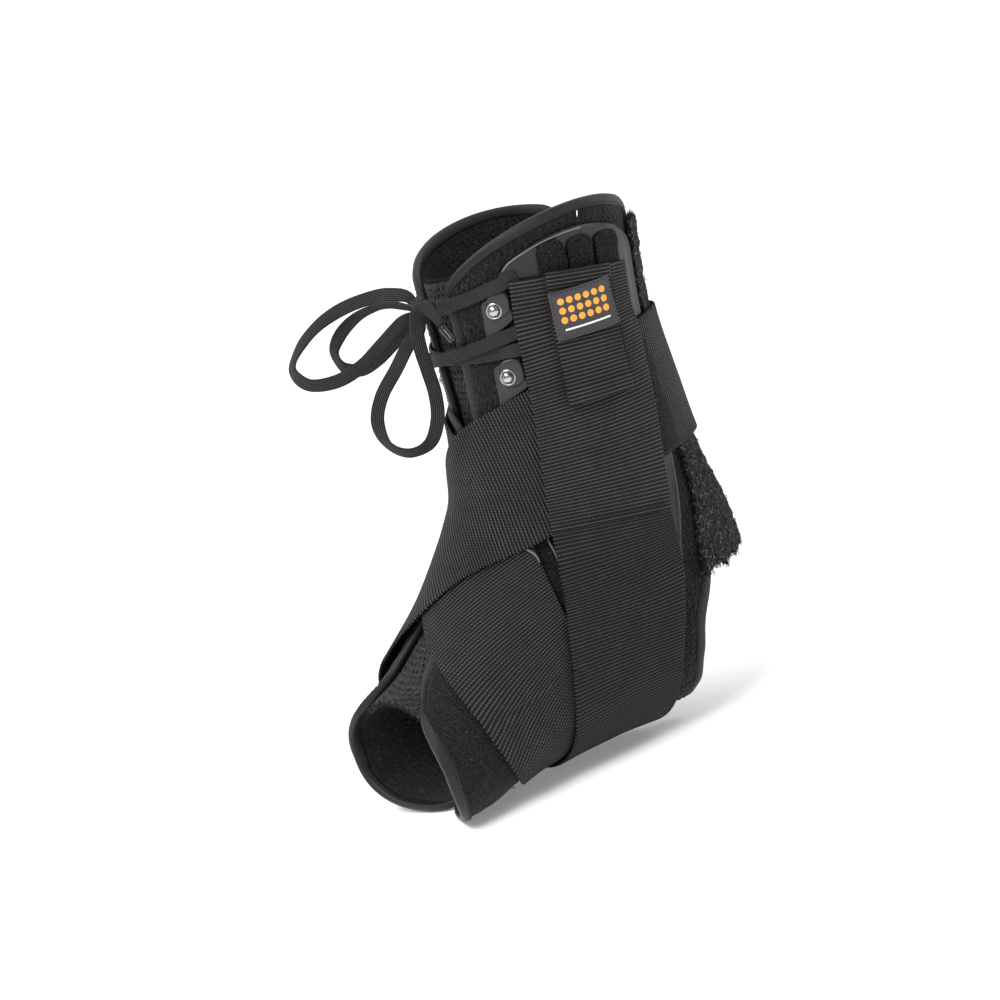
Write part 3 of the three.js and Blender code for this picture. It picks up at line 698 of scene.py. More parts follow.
def tube(points, radius, sides, taper):
    """Points and faces of a round bar along a line of points, with closed ends."""
    tangent = unit(np.gradient(points, axis=0))
    side = np.zeros_like(points)
    side[0] = unit(np.cross(tangent[0], [0.3, 0.2, 0.93]))
    for k in range(1, len(points)):
        side[k] = unit(side[k - 1] - tangent[k] * dot(side[k - 1], tangent[k]))
    other = np.cross(tangent, side)
    angle = circle(sides)
    ring = side[:, None] * np.cos(angle)[None, :, None] + other[:, None] * np.sin(angle)[None, :, None]
    p = points[:, None] + ring * (radius * np.asarray(taper))[:, None, None]
    n = len(points)
    caps = [np.arange(sides)[::-1], (n - 1) * sides + np.arange(sides)]
    return p.reshape(-1, 3), ring_faces(n, sides), caps


def put_bars(name, lines, radius, look, sides=5, taper=None):
    """Many small bars as one piece: stitches, threads or fibres. lines is (M, n, 3)."""
    lines = np.asarray(lines, float)
    count, n = lines.shape[:2]
    tangent = unit(np.gradient(lines, axis=1))
    guide = np.where(np.abs(tangent[:, :1, 2:3]) > 0.9, [[[1.0, 0, 0]]], [[[0, 0, 1.0]]])
    side = unit(np.cross(tangent, np.broadcast_to(guide, tangent.shape)))
    other = np.cross(tangent, side)
    angle = circle(sides)
    radii = np.ones(n) if taper is None else np.asarray(taper, float)
    size = (radius * radii)[None, :, None, None]
    ring = side[:, :, None] * np.cos(angle)[:, None] + other[:, :, None] * np.sin(angle)[:, None]
    p = lines[:, :, None] + ring * size
    base = (np.arange(count) * n * sides)[:, None]
    quads = (base[:, :, None] + ring_faces(n, sides)).reshape(-1, 4)
    caps = np.concatenate([base + np.arange(sides)[::-1], base + (n - 1) * sides + np.arange(sides)])
    return put_mesh(name, p.reshape(-1, 3), [quads, caps], look, None, ())


def stitch_lines(s, t, height, length, gap, sink=0.25):
    """Short raised threads along a line of places."""
    line = over(s, t, height)
    up = normal(s, t)
    run = run_length(line)
    starts = np.arange(0.3, run[-1] - length, length + gap)
    shares = np.linspace(0, 1, 5)
    rise = np.array([-sink, 0.06, 0.12, 0.06, -sink])
    at = starts[:, None] + shares * length
    return even_line(line, run, at) + even_line(up, run, at) * rise[None, :, None]


def both(lines):
    """Lines with their mirror images."""
    return np.concatenate([lines, lines * MIRROR])


# ---- camera ----
def compass(azimuth, elevation):
    """Direction to an azimuth from the front and an elevation, in degrees."""
    a, e = math.radians(azimuth), math.radians(elevation)
    return np.array([math.sin(a) * math.cos(e), -math.cos(a) * math.cos(e), math.sin(e)])


def posed(x, y, z, place):
    """Matrix of an object with these axes, at a place in metres."""
    return Matrix(np.vstack([np.column_stack([x, y, z, place]), [0, 0, 0, 1]]).tolist())


def put_camera():
    """The photo's view: the aim is seen at a pixel of its frame. Returns the ways back, right and up."""
    frame_size, distance, focal, roll = 1000, 1400.0, 3226.0, math.radians(18)
    aim, pixel = np.array([0.0, 52.0, 28.0]), (751, 607)
    back = compass(65, 10)
    right = unit(np.cross(-back, [0, 0, 1.0]))
    up = np.cross(right, -back)
    r = math.cos(roll) * right - math.sin(roll) * up
    u = math.sin(roll) * right + math.cos(roll) * up
    across, down = ((at - frame_size / 2) * distance / focal for at in pixel)
    place = aim + back * distance - across * r + down * u
    data = bpy.data.cameras.new("camera")
    data.sensor_width = 36.0
    data.lens = 36.0 * focal / frame_size
    data.clip_start, data.clip_end = 0.05, 200.0
    camera = bpy.data.objects.new("camera", data)
    camera.matrix_world = posed(r, u, back, place / 1000)
    bpy.context.scene.collection.objects.link(camera)
    bpy.context.scene.camera = camera
    return back, r, u


view_back, view_right, view_up = put_camera()


# ---- the bow ----
# Middle lines of the bow's loops from the knot and back, and of the aglet
BOW_LARGE = [
    [1.9, -57.0, 205.0], [0.7, -58.4, 207.8], [-5, -63, 210.5], [-12, -66, 211], [-22, -77, 210],
    [-29, -88, 206], [-34, -97, 199], [-33, -103, 192], [-27, -101, 185], [-19, -92, 183], [-12, -82, 186],
    [-6, -74, 191.5], [-0.2, -67.2, 196.8], [2.1, -63.4, 199.1], [2.8, -59.6, 199.8],
]
BOW_SMALL = [
    [-1.2, -56.6, 202.0], [-4.4, -57.6, 203.0], [-11, -61, 205.5], [-18, -64.5, 206], [-25, -72, 204],
    [-30, -79, 199], [-32, -83, 193], [-30, -82, 186], [-25, -77, 183], [-20, -71, 185], [-14, -66, 189],
    [-8, -62, 193], [-3.0, -58.8, 195.8], [-0.1, -57.1, 197.9],
]
BOW_HANGING = [
    [5.6, -58.1, 197.2], [7.1, -60.4, 194.3], [8.3, -68, 190], [10, -77, 183], [9, -87, 174], [9, -92, 165],
    [10, -91, 155], [12, -84, 149], [14, -75, 150], [15, -69, 158], [14, -66, 168], [12, -65, 178],
    [11, -64.5, 188], [11, -63, 197], [12.5, -61.5, 202], [15.8, -59.5, 202.5], [18, -57.5, 199],
    [18.3, -56.2, 194.5],
]
AGLET = [[18.4, -55.9, 193.5], [20.4, -55.2, 190], [22.4, -54.5, 186.5]]


def smooth_line(points, step=0.8):
    """A centripetal curve through points, sampled evenly."""
    p = np.asarray(points, float)
    p = np.vstack([2 * p[0] - p[1], p, 2 * p[-1] - p[-2]])
    out = []
    for k in range(1, len(p) - 2):
        a, b, c, d = p[k - 1:k + 3]
        t0, t1 = 0.0, np.linalg.norm(b - a) ** 0.5
        t2 = t1 + np.linalg.norm(c - b) ** 0.5
        t3 = t2 + np.linalg.norm(d - c) ** 0.5
        t = np.linspace(t1, t2, 24, endpoint=False)[:, None]
        a1 = (t1 - t) / (t1 - t0) * a + (t - t0) / (t1 - t0) * b
        a2 = (t2 - t) / (t2 - t1) * b + (t - t1) / (t2 - t1) * c
        a3 = (t3 - t) / (t3 - t2) * c + (t - t2) / (t3 - t2) * d
        b1 = (t2 - t) / (t2 - t0) * a1 + (t - t0) / (t2 - t0) * a2
        b2 = (t3 - t) / (t3 - t1) * a2 + (t - t1) / (t3 - t1) * a3
        out.append((t2 - t) / (t2 - t1) * b1 + (t - t1) / (t2 - t1) * b2)
    line = np.vstack([*out, p[-2:-1]])
    run = run_length(line)
    at = np.linspace(0, run[-1], max(2, math.ceil(run[-1] / step) + 1))
    return even_line(line, run, at), at


def flat_lace(name, points, tilt):
    """A flat lace on a line of points. tilt is the angle of its face to the viewing plane along it."""
    sides, corner_power, pinch, narrowest = 20, 0.75, 6.0, 0.62
    line, run = smooth_line(points)
    tangent = unit(np.gradient(line, axis=0))
    in_view = unit(np.cross(tangent, view_back))
    away = np.cross(tangent, in_view)
    angle = np.radians(profile(tilt, run / run[-1]))
    wide = in_view * np.cos(angle)[:, None] + away * np.sin(angle)[:, None]
    flat = np.cross(tangent, wide)
    x = signed_power(np.cos(circle(sides)), corner_power) * BOW_WIDTH / 2
    y = signed_power(np.sin(circle(sides)), corner_power) * BOW_THICK / 2
    near_end = np.minimum(run, run[-1] - run)
    squeeze = narrowest + (1 - narrowest) * np.clip(near_end / pinch, 0, 1) ** 0.7
    p = (line[:, None] + wide[:, None] * (x[None, :] * squeeze[:, None])[..., None]
         + flat[:, None] * (y[None, :] * (2 - squeeze)[:, None])[..., None])
    n = len(line)
    quads = ring_faces(n, sides)[:, ::-1]
    caps = [np.array([np.arange(sides)]), np.array([(n - 1) * sides + np.arange(sides)[::-1]])]
    uvs = np.stack([np.repeat(run, sides), np.tile(x + BOW_WIDTH / 2, n)], -1)
    piece = put_mesh(name, p.reshape(-1, 3), [quads, *caps], "lace", uvs, [name])
    return piece, line, run[-1]


bow = {
    "bow_loop_large": flat_lace("bow_loop_large", BOW_LARGE, [
        [0, 10], [0.25, 8], [0.4, 40], [0.49, 62], [0.58, 30], [0.72, 6], [1, 4],
    ]),
    "bow_loop_small": flat_lace("bow_loop_small", BOW_SMALL, [
        [0, 62], [0.22, 52], [0.4, 16], [0.52, 58], [0.62, 20], [1, 8],
    ]),
    "bow_loop_hanging": flat_lace("bow_loop_hanging", BOW_HANGING, [
        [0, 20], [0.12, 8], [0.32, 12], [0.41, 60], [0.48, 50], [0.58, 6], [0.78, 10], [1, 40],
    ]),
}


# ---- the boot ----
# t where the two panels meet under the sole
SOLE_MIDDLE = 179.8
# Rows of the panel from its top to its sole end: s and t of the front edge, the middle and the rear edge
PANEL_ROWS = [
    [0.26, 15, -0.22, 80, 0.00, 143],
    [0.80, 15, 0.70, 80, 0.80, 142],
    [1.86, 11, 1.80, 80, 1.90, 140],
    [3.00, 9, 3.00, 80, 3.00, 136],
    [4.20, 8, 4.10, 78, 4.10, 124],
    [5.30, 8, 5.10, 76, 5.00, 112],
    [6.30, 8, 6.05, 84, 5.62, 124],
    [7.20, 10, 7.00, 94, 6.02, 146],
    [8.10, 17, 8.00, 98, 6.35, 168],
    [8.90, 22, 9.00, 98, 7.60, SOLE_MIDDLE],
    [9.55, 36, 9.95, 84, 9.30, SOLE_MIDDLE],
]


def bend(a, b, c, share):
    """A curve from a at share 0 through b half way to c at share 1."""
    return a + (4 * b - 3 * a - c) * share + 2 * (a + c - 2 * b) * share * share


def panel_place(u, v):
    """Place on the panel at shares from its top to its sole end and from its front to its rear."""
    row = table(PANEL_ROWS, np.asarray(u, float) * (len(PANEL_ROWS) - 1))
    fs, ft, ms, mt, rs, rt = np.moveaxis(row, -1, 0)
    return bend(fs, ms, rs, v), bend(ft, mt, np.minimum(rt, SOLE_MIDDLE), v)


def panel_lengths(u, v):
    """Millimetres for one whole share of u, and of v."""
    e = 0.01
    iu, iv = np.where(u < 0.5, e, -e), np.where(v < 0.5, e, -e)
    here = form_point(*panel_place(u, v))
    lu = np.linalg.norm(form_point(*panel_place(u + iu, v)) - here, axis=-1) / e
    lv = np.linalg.norm(form_point(*panel_place(u, v + iv)) - here, axis=-1) / e
    return lu, lv


def inset_place(u, v, distance):
    """Place on the panel with its edges drawn in by a distance, and its corners rounded."""
    corner = 10.0
    zero, one = np.zeros_like(u), np.ones_like(u)
    top = distance / panel_lengths(zero, v)[0]
    bottom = distance / panel_lengths(one, v)[0]
    front = distance / panel_lengths(u, zero)[1]
    rear = distance / panel_lengths(u, one)[1]
    a, b = top + u * (1 - top - bottom), front + v * (1 - front - rear)
    lu, lv = panel_lengths(a, b)
    ru, rv = corner / np.maximum(lu, 60), corner / np.maximum(lv, 25)
    sa, sb = np.where(a < 0.5, -1, 1), np.where(b < 0.5, -1, 1)
    ca = np.clip((np.abs(a - 0.5) - (0.5 - ru)) / ru, 0, 1)
    cb = np.clip((np.abs(b - 0.5) - (0.5 - rv)) / rv, 0, 1)
    da = ca * (1 - np.sqrt(1 - cb * cb / 2))
    db = cb * (1 - np.sqrt(1 - ca * ca / 2))
    return panel_place(a - sa * da * ru, b - sb * db * rv)


def grid_distances(p):
    """Distances along a grid's rows and columns, and each point's distance from the rim."""
    du = np.linalg.norm(np.diff(p, axis=0), axis=-1)
    dv = np.linalg.norm(np.diff(p, axis=1), axis=-1)
    au = np.concatenate([np.zeros((1, du.shape[1])), np.cumsum(du, 0)])
    av = np.concatenate([np.zeros((dv.shape[0], 1)), np.cumsum(dv, 1)], 1)
    rim = np.minimum(np.minimum(au, au[-1:] - au), np.minimum(av, av[:, -1:] - av))
    return np.stack([au, av], -1), rim


def rimmed_shares(count, rim, kept):
    """Shares from 0 to 1, evenly spaced where kept, with close ones at both ends."""
    x = np.linspace(0, 1, count)[1:-1]
    rim = np.array(rim)
    return np.concatenate([rim, x[(x > kept) & (x < 1 - kept)], 1 - rim[::-1]])


def put_panels():
    u, v = (rimmed_shares(count, (0.0, 0.0008, 0.002, 0.004), 0.0) for count in (150, 88))
    s, t = inset_place(*np.meshgrid(u, v, indexing="ij"), 1.6)
    p = form_point(s, t)
    uv, rim = grid_distances(p)
    edge = rounding(rim, 0.6)
    # drawn down by the seam along the binding
    sewn = profile([[0, -0.75], [2.4, -0.6], [6.5, 0.0]], rim)
    puff = 0.16 * waves(p, 17, 3) + 0.1 * waves(p, 5, 4)
    top = sewn + np.where(rim > 3, puff, 0)
    put_layer("outer_panel", s, t, np.full_like(s, SKIN), PANEL - 0.1, edge, uv, "panel", top, "inner_panel")
    # raised pile over the face, and loose ends at the rear top corner
    r, count = np.random.default_rng(12), 5500
    i, j = r.integers(8, s.shape[0] - 8, count), r.integers(6, s.shape[1] - 6, count)
    root, up = over(s[i, j], t[i, j], SKIN + PANEL - 0.15), normal(s[i, j], t[i, j])
    lean = unit(up + r.normal(scale=1.2, size=up.shape))
    fray("panel_pile", root, lean, up, count, 1.3, seed=13, radius=0.09, bends=3)
    u, v = np.linspace(0.0, 0.3, 200), np.ones(200)
    edge_s, edge_t = inset_place(u, v, np.zeros(200))
    in_s, in_t = inset_place(u, v, np.full(200, 3.0))
    root, inside = over(edge_s, edge_t, 1.8), over(in_s, in_t, 1.8)
    fray("corner_fray", root, unit(root - inside), normal(edge_s, edge_t), 700, 1.7, seed=14)


def binding_ring():
    """Stations round the panel's four edges, as shares of its rows and columns."""
    corners = [(0, 1), (0, 0), (1, 0), (1, 1)]
    out = []
    for k, (u, v) in enumerate(corners):
        nu, nv = corners[(k + 1) % 4]
        n = 120 if k % 2 == 0 else 260
        x = np.arange(n) / n
        # closer together near the corners
        x = 0.55 * x + 0.45 * (0.5 - 0.5 * np.cos(np.pi * x))
        out.append(np.stack([u + (nu - u) * x, v + (nv - v) * x], 1))
    return np.vstack(out)


def put_bindings():
    ring = binding_ring()
    u, v = ring[:, 0], ring[:, 1]
    # across the folded tape: distance in from the edge, height over the form
    section = [
        (4.7, 2.75), (4.6, 3.2), (4.15, 3.42), (3.2, 3.5), (2.2, 3.55), (1.2, 3.5), (0.5, 3.2), (0.1, 2.6),
        (0.0, 1.9), (0.08, 1.2), (0.4, 0.6), (1.2, 0.25), (2.4, 0.15), (3.8, 0.1), (4.6, 0.2), (4.7, 0.7),
    ]
    rows, station = [], np.arange(len(u))
    wobble = 0.12 * np.sin(station * 0.31) + 0.1 * np.sin(station * 0.083 + 1)
    for inset, height in section:
        wide = inset * (1 + 0.06 * np.sin(station * 0.12)) if inset > 3 else np.full(len(u), inset)
        s, t = inset_place(u, v, wide)
        rows.append(over(s, t, height + (wobble * 0.4 if height > 3 else 0)))
    p = np.stack(rows, 1)
    n, k = p.shape[:2]
    quads = ring_faces(n + 1, k) % (n * k)
    run = run_length(p[:, 3])
    widths = np.concatenate([[0], np.cumsum([math.dist(section[m], section[m + 1]) for m in range(k - 1)])])
    uvs = np.stack([np.repeat(run, k), np.tile(widths, n)], -1)
    points = p.reshape(-1, 3)
    put_pair("edge_binding", points, turned_out(quads, points, p[0].mean(0)), "binding", uvs)
    s, t = inset_place(u, v, np.full(len(u), 3.7))
    lines = stitch_lines(s, t, np.full(len(u), 3.48), 1.9, 0.7)
    put_bars("binding_stitches", both(lines), 0.2, "thread")


def place_grid(rows_of, nu, nv):
    """Places and points of a grid of shares, its distances, those from its rim, and the shares along it."""
    u, v = (rimmed_shares(count, (0.0, 0.002, 0.006, 0.014), 0.02) for count in (nu, nv))
    u, v = np.meshgrid(u, v, indexing="ij")
    s, t = rows_of(u, v)
    p = form_point(s, t)
    return s, t, p, *grid_distances(p), u


# Rows of the tongue from its top: s and half its width in degrees
TONGUE_ROWS = [[0.20, 30], [1.50, 33], [3.50, 33], [6.00, 34], [8.30, 36], [9.65, 38]]


def put_tongue():
    def places(u, v):
        s, half = np.moveaxis(table(TONGUE_ROWS, u * (len(TONGUE_ROWS) - 1)), -1, 0)
        ragged = np.where(u > 0.9, 0.035 * np.sin(v * 61) + 0.03 * np.sin(v * 143 + 1), 0) * (u - 0.9) * 10
        return s + ragged, (2 * v - 1) * half
    s, t, p, uv, rim, _ = place_grid(places, 230, 54)
    # sunk cells on the same lattice as the look's
    f = 4 * np.pi / (math.sqrt(3) * TONGUE_CELL)
    x, y = uv[..., 0] + 0.3 * waves(p, 7, 9), uv[..., 1] + 0.3 * waves(p, 7, 10)
    lattice = (np.cos(f * x) + np.cos(f * (-x / 2 + y * math.sqrt(3) / 2))
               + np.cos(f * (-x / 2 - y * math.sqrt(3) / 2))) / 3
    dip = -0.5 * np.clip((lattice - 0.1) / 0.6, 0, 1)
    top = np.where(rim > 0.8, dip, 0) + 0.15 * waves(p, 9, 11)
    thick = 3.0
    put_layer("tongue", s, t, np.full_like(s, -SKIN - thick), thick, rounding(rim, 1.2), uv, "tongue", top)
    for name, row, step in (("tongue_fray_low", -1, -8), ("tongue_fray_top", 0, 8)):
        root, inside = over(s[row], t[row], -1.5), over(s[step], t[step], -1.5)
        fray(name, root, unit(root - inside), normal(s[row], t[row]), 400, 1.6, seed=15)


# Rows of the elastic from its top: s and t of its side edges, and s at the middle of the back
ELASTIC_ROWS = [
    [0.14, 135, 0.30], [1.00, 134, 1.00], [2.00, 131, 2.00], [3.00, 126, 2.85], [3.60, 121, 3.35],
    [4.10, 115, 3.75], [4.58, 110, 4.05],
]


def elastic_height(u, t):
    """Height of the elastic: on the panels at its sides, and sunk where it spans the open back."""
    rear = bend(143, 136, 112, u) + 4
    share = np.minimum(1, (180 - np.abs(t)) / (180 - rear))
    return FIRST - BACK_SINK * (1 - share * share * (3 - 2 * share))


def put_elastic():
    def places(u, v):
        side_s, side_t, mid_s = np.moveaxis(table(ELASTIC_ROWS, u * (len(ELASTIC_ROWS) - 1)), -1, 0)
        across = np.abs(2 * v - 1)
        t = 180 + (2 * v - 1) * (180 - side_t)
        ragged = 0.02 * np.sin(v * 71) + 0.018 * np.sin(v * 173 + 2) + 0.01 * np.sin(v * 331)
        ragged = ragged * (np.abs(u - 0.5) * 2) ** 8
        frayed = (0.5 * np.sin(u * 83) + 0.4 * np.sin(u * 197)) * (across ** 12) * np.sign(2 * v - 1)
        return mid_s + (side_s - mid_s) * across ** 1.5 + ragged, t + frayed
    s, t, p, uv, rim, u = place_grid(places, 124, 124)
    low = elastic_height(u, 180 - np.abs(180 - t))
    top = 0.45 * np.abs(waves(p, 9, 20)) + 0.3 * waves(p, 4.5, 21) + 0.18 * waves(p, 2.4, 22)
    edge = rounding(rim, 0.8)
    piece = put_layer("achilles_elastic", s, t, low, ELASTIC, edge, uv, "knit", top)
    middle = over(s, t, low + ELASTIC / 2)
    return middle, normal(s, t)


def fray(name, root, outward, up, count, length, look="fibre", seed=1, radius=0.11, bends=4):
    """Loose fibres from an edge: root (N, 3) with outward and up directions."""
    r = np.random.default_rng(seed)
    i = r.integers(0, len(root), count)
    base = root[i] + r.normal(scale=0.35, size=(count, 3))
    way = unit(outward[i] * r.uniform(0.5, 1.2, (count, 1)) + up[i] * r.normal(0, 0.5, (count, 1))
               + r.normal(scale=0.35, size=(count, 3)))
    curl = unit(r.normal(size=(count, 3)))
    size = length * r.uniform(0.35, 1.0, (count, 1))
    shares = np.linspace(0, 1, bends)
    lines = (base[:, None] + way[:, None] * (shares[None, :, None] * size[:, None])
             + curl[:, None] * (np.sin(shares * np.pi * 1.3)[None, :, None] * size[:, None] * 0.28))
    put_bars(name, lines, radius, look, 3, np.linspace(1, 0.4, bends))


# Rows of the stay from its top: s and t of the front edge, s at the middle, and s and t of the rear edge
PLATE_ROWS = [
    [0.16, 57, 0.02, 0.16, 118], [0.28, 51, 0.16, 0.36, 129], [0.46, 56.5, 0.42, 0.64, 131],
    [1.10, 57, 1.10, 1.20, 130], [2.00, 58, 2.00, 2.10, 125], [3.00, 63, 3.00, 3.00, 119],
    [3.90, 70, 3.85, 3.80, 110], [4.70, 80, 4.80, 4.60, 101],
]


def put_plates():
    def places(u, v):
        row = table(PLATE_ROWS, u * (len(PLATE_ROWS) - 1))
        fs, ft, ms, rs, rt = np.moveaxis(row, -1, 0)
        return bend(fs, ms, rs, v), ft + (rt - ft) * v
    s, t, _, uv, rim, _ = place_grid(places, 100, 46)
    edge = rounding(rim, 0.9)
    rib = 0.5 * np.exp(-((rim - 1.3) / 0.45) ** 2)
    put_layer("outer_stay_plate", s, t, np.full_like(s, FIRST), PLATE - 0.1, edge, uv, "plastic", rib,
              "inner_stay_plate")


def put_hooks():
    # t of the front and rear edges, and s of the top and the lower end
    strips = [[71, 84.5, 0.08, 0.95], [86, 99.5, 0.12, 0.95], [101, 116, 0.17, 0.95]]
    for k, (front, rear, top_s, low_s) in enumerate(strips, 1):
        def places(u, v):
            # the top end is rounded
            a = np.abs(2 * v - 1)
            dip = (1 - np.sqrt(np.clip(1 - a**4, 0, 1))) * 0.13 * np.clip(1 - u * 4, 0, 1)
            return top_s + (low_s - top_s) * u + dip, front + (rear - front) * v
        s, t, p, uv, rim, _ = place_grid(places, 46, 24)
        bristle = np.where(rim > 0.3, 0.18 * waves(p, 1.3, 40 + k) + 0.1 * waves(p, 0.8, 50 + k), 0)
        low = np.full_like(s, OVER_PLATE - 0.5)
        put_layer(f"outer_hook_strip_{k}", s, t, low, HOOK + 0.4, rounding(rim, 0.7), uv, "hooks", bristle,
                  f"inner_hook_strip_{k}")


# ---- the straps ----
# Routes of the straps' middle lines, as s and t
CROSS = [
    [1.92, 179.5], [1.92, 160], [1.93, 140], [2.00, 108], [2.19, 81], [2.44, 59], [2.65, 41], [2.95, 20],
    [3.45, 3], [4.40, -9], [5.60, -22], [6.50, -37], [7.10, -54], [7.50, -74], [7.72, -97], [7.68, -124],
    [7.40, -148], [7.20, -166], [7.20, -179.8],
]
LIFT_ELASTIC = [
    [7.20, 179.8], [7.20, 166], [7.08, 148], [6.88, 126], [6.54, 107], [6.05, 94], [5.54, 85], [5.08, 80.5],
    [4.64, 78], [4.20, 77.5], [3.862, 78],
]
LIFT_STRAP = [
    [3.858, 78], [3.30, 79], [2.75, 80.5], [2.30, 81.5], [1.87, 82.5], [1.35, 84], [1.00, 84.7], [0.70, 85.5],
    [0.44, 86],
]
LOOP_PATCH = [[2.08, 121], [2.12, 105], [2.23, 83], [2.44, 62]]
PULL_TAB = [[1.84, 84], [1.32, 84.8], [0.80, 86.2], [0.42, 87.5]]
LABEL = [[0.82, 71], [0.84, 86], [0.84, 101]]
# Heights of the cross straps against t, and of the side straps against s
BEHIND = [[150, OVER_PLATE], [180, FIRST - BACK_SINK + ELASTIC + GAP]]
OUTER_CROSS = [
    [-150, UPPER], [-128, UPPER + 0.5], [-90, UPPER + 0.5], [-60, UPPER], [-50, UPPER + 0.4],
    [-42, UPPER + 0.4], [-32, UPPER], [42, UPPER], [54, OVER_PLATE], *BEHIND,
]
INNER_CROSS = [[42, UNDER], [54, OVER_PLATE], *BEHIND]
LIFT_TOP = [
    [0.95, OVER_HOOKS], [1.30, OVER_PATCH], [3.36, OVER_PATCH], [3.76, PLATE_WEB], [4.35, PLATE_WEB],
]
OUTER_LIFT = [*LIFT_TOP, [4.95, OVER_PLATE], [5.40, UPPER]]
INNER_LIFT = [*LIFT_TOP, [4.80, OVER_PLATE], [5.25, UNDER]]
OVER_LIFT = WEB + GAP


def flip(route):
    return [[s, -t] for s, t in route]


def lace_bump(s, t):
    """How far the cross straps rise over the lower lace."""
    return profile([[2.40, LACE + 0.2], [3.10, 0]], s) * profile([[18, 1], [32, 0]], np.abs(t))


def outer_cross(s, t):
    return profile(OUTER_CROSS, t) + lace_bump(s, t)


def inner_cross(s, t):
    return profile(INNER_CROSS, -t) + lace_bump(s, t)


def outer_lift(s, t):
    return profile(OUTER_LIFT, s)


def inner_lift(s, t):
    return profile(INNER_LIFT, s)


def patch_height(s, t):
    return np.full_like(s, PLATE_WEB)


def tab_height(s, t):
    return outer_lift(s, t) + OVER_LIFT


def label_height(s, t):
    return tab_height(s, t) + OVER_LIFT


def put_straps():
    """The webbing, dressed in place of its nodes. Returns the side strap and the pull tab."""
    for name, route, height_at, seed, wave, slant in (
        ("outer_cross_strap", CROSS, outer_cross, 0, 0.15, -0.1),
        ("inner_cross_strap", flip(CROSS), inner_cross, 2, 0.12, 0.27),
        ("outer_lift_elastic", LIFT_ELASTIC, outer_lift, 3, 0.2, 0.22),
        ("inner_lift_elastic", flip(LIFT_ELASTIC), inner_lift, 4, 0.2, -0.22),
    ):
        width, pitch, look = LIFT_WIDTH, ELASTIC_PITCH, "elastic"
        if "cross" in name:
            width, pitch, look = CROSS_WIDTH, CROSS_PITCH, "webbing_inner" if "inner" in name else "webbing"
        put_strap(name, route, width, WEB, height_at, look, wave=wave, seed=seed, pitch=pitch,
                  slant=slant)
    lift = put_strap("outer_lift_strap", LIFT_STRAP, LIFT_WIDTH, WEB, outer_lift, "lift", "inner_lift_strap",
                     wave=0.2, seed=5, pitch=LIFT_PITCH, slant=0.12)
    put_strap("outer_loop_patch", LOOP_PATCH, PATCH_WIDTH, PATCH, patch_height, "patch", "inner_loop_patch",
              step=1.0)
    half = TAB_WIDTH / 2

    def hems(a, c, total):
        # raised selvedges, and doubled ends
        side = half - np.abs(c)
        fold = rounding(np.clip(7.0 - a, 0, 7), 0.8) + rounding(np.clip(a - total + 6.0, 0, 6), 0.8)
        return 0.7 * np.exp(-((side - 1.4) / 0.7) ** 2) + 0.8 * fold
    tab = put_strap("outer_pull_tab", PULL_TAB, TAB_WIDTH, WEB, tab_height, "pull", "inner_pull_tab",
                    top_at=hems, pitch=TAB_PITCH)
    # a dark cord along the tab's sides and foot: painted shadow for the shade gap under the tab's edges
    total, out = tab[2][-1], half - 0.1
    down, foot = np.linspace(0.3, total - 0.3, 90), np.full(50, total - 0.1)
    a = np.concatenate([down, foot, down[::-1]])
    c = np.concatenate([np.full(90, out), np.linspace(out, -out, 50), np.full(90, -out)])
    edge = over(*on_strap(tab, a, c, -0.15))
    put_bars("pull_tab_painted_shadow", both(edge[None]), 0.34, "shadow_thread", 6)
    return lift, tab


def put_label():
    """A small moulded label: raised border, three rows of dots and a pale line."""
    half, dot_radius, steps, sides = LABEL_WIDTH / 2, 1.5, 5, 16

    def border(a, c, total):
        e = np.minimum(np.minimum(a, total - a), half - np.abs(c))
        return 0.28 * np.exp(-((e - 1.0) / 0.45) ** 2) - 0.1 * (e > 1.8)
    label = put_strap("label", LABEL, LABEL_WIDTH, 0.9, label_height, "label", step=0.6,
                      top_at=border)
    total = label[2][-1]
    rows, columns, points = 3, 6, []
    for row in range(rows):
        for column in range(columns):
            a0, c0 = total * (0.5 + 0.135 * (column - 2.5)), 5.6 - 3.9 * row
            for turn in np.linspace(0, 1, steps) * math.pi / 2:
                r = dot_radius * math.cos(turn) + 1e-3
                a, c = a0 + r * np.cos(circle(sides)), c0 + r * np.sin(circle(sides))
                points.append(over(*on_strap(label, a, c, 0.35 * math.sin(turn) - 0.15)))
    points = np.concatenate(points)
    base = steps * sides * np.arange(rows * columns)[:, None, None]
    quads = (base + ring_faces(steps, sides)).reshape(-1, 4)
    a, b, c = points[quads[0, :3]]
    if np.dot(np.cross(b - a, c - a), normal(*np.array(LABEL[1], float))) < 0:
        quads = quads[:, ::-1]
    put_mesh("label_dots", points, [quads], "orange", None, ())
    line = over(*on_strap(label, np.linspace(total * 0.14, total * 0.86, 60), np.full(60, -6.1)))
    put_bars("label_line", line[None], 0.42, "white", 8)
    # stitches round the border
    near, far, side = 0.8, total - 0.8, half - 0.8
    a = [np.linspace(near, far, 60), np.full(30, far), np.linspace(far, near, 60), np.full(30, near)]
    c = [np.full(60, side), np.linspace(side, -side, 30), np.full(60, -side), np.linspace(-side, side, 30)]
    a, c = np.concatenate(a), np.concatenate(c)
    lines = stitch_lines(*on_strap(label, a, c, 0.22), 1.5, 0.6)
    put_bars("label_stitches", lines, 0.16, "thread")


# ---- tabs, rivets and laces ----
# Places of the rivets
RIVETS = {"upper": (0.60, 45.0), "lower": (1.33, 43.5)}


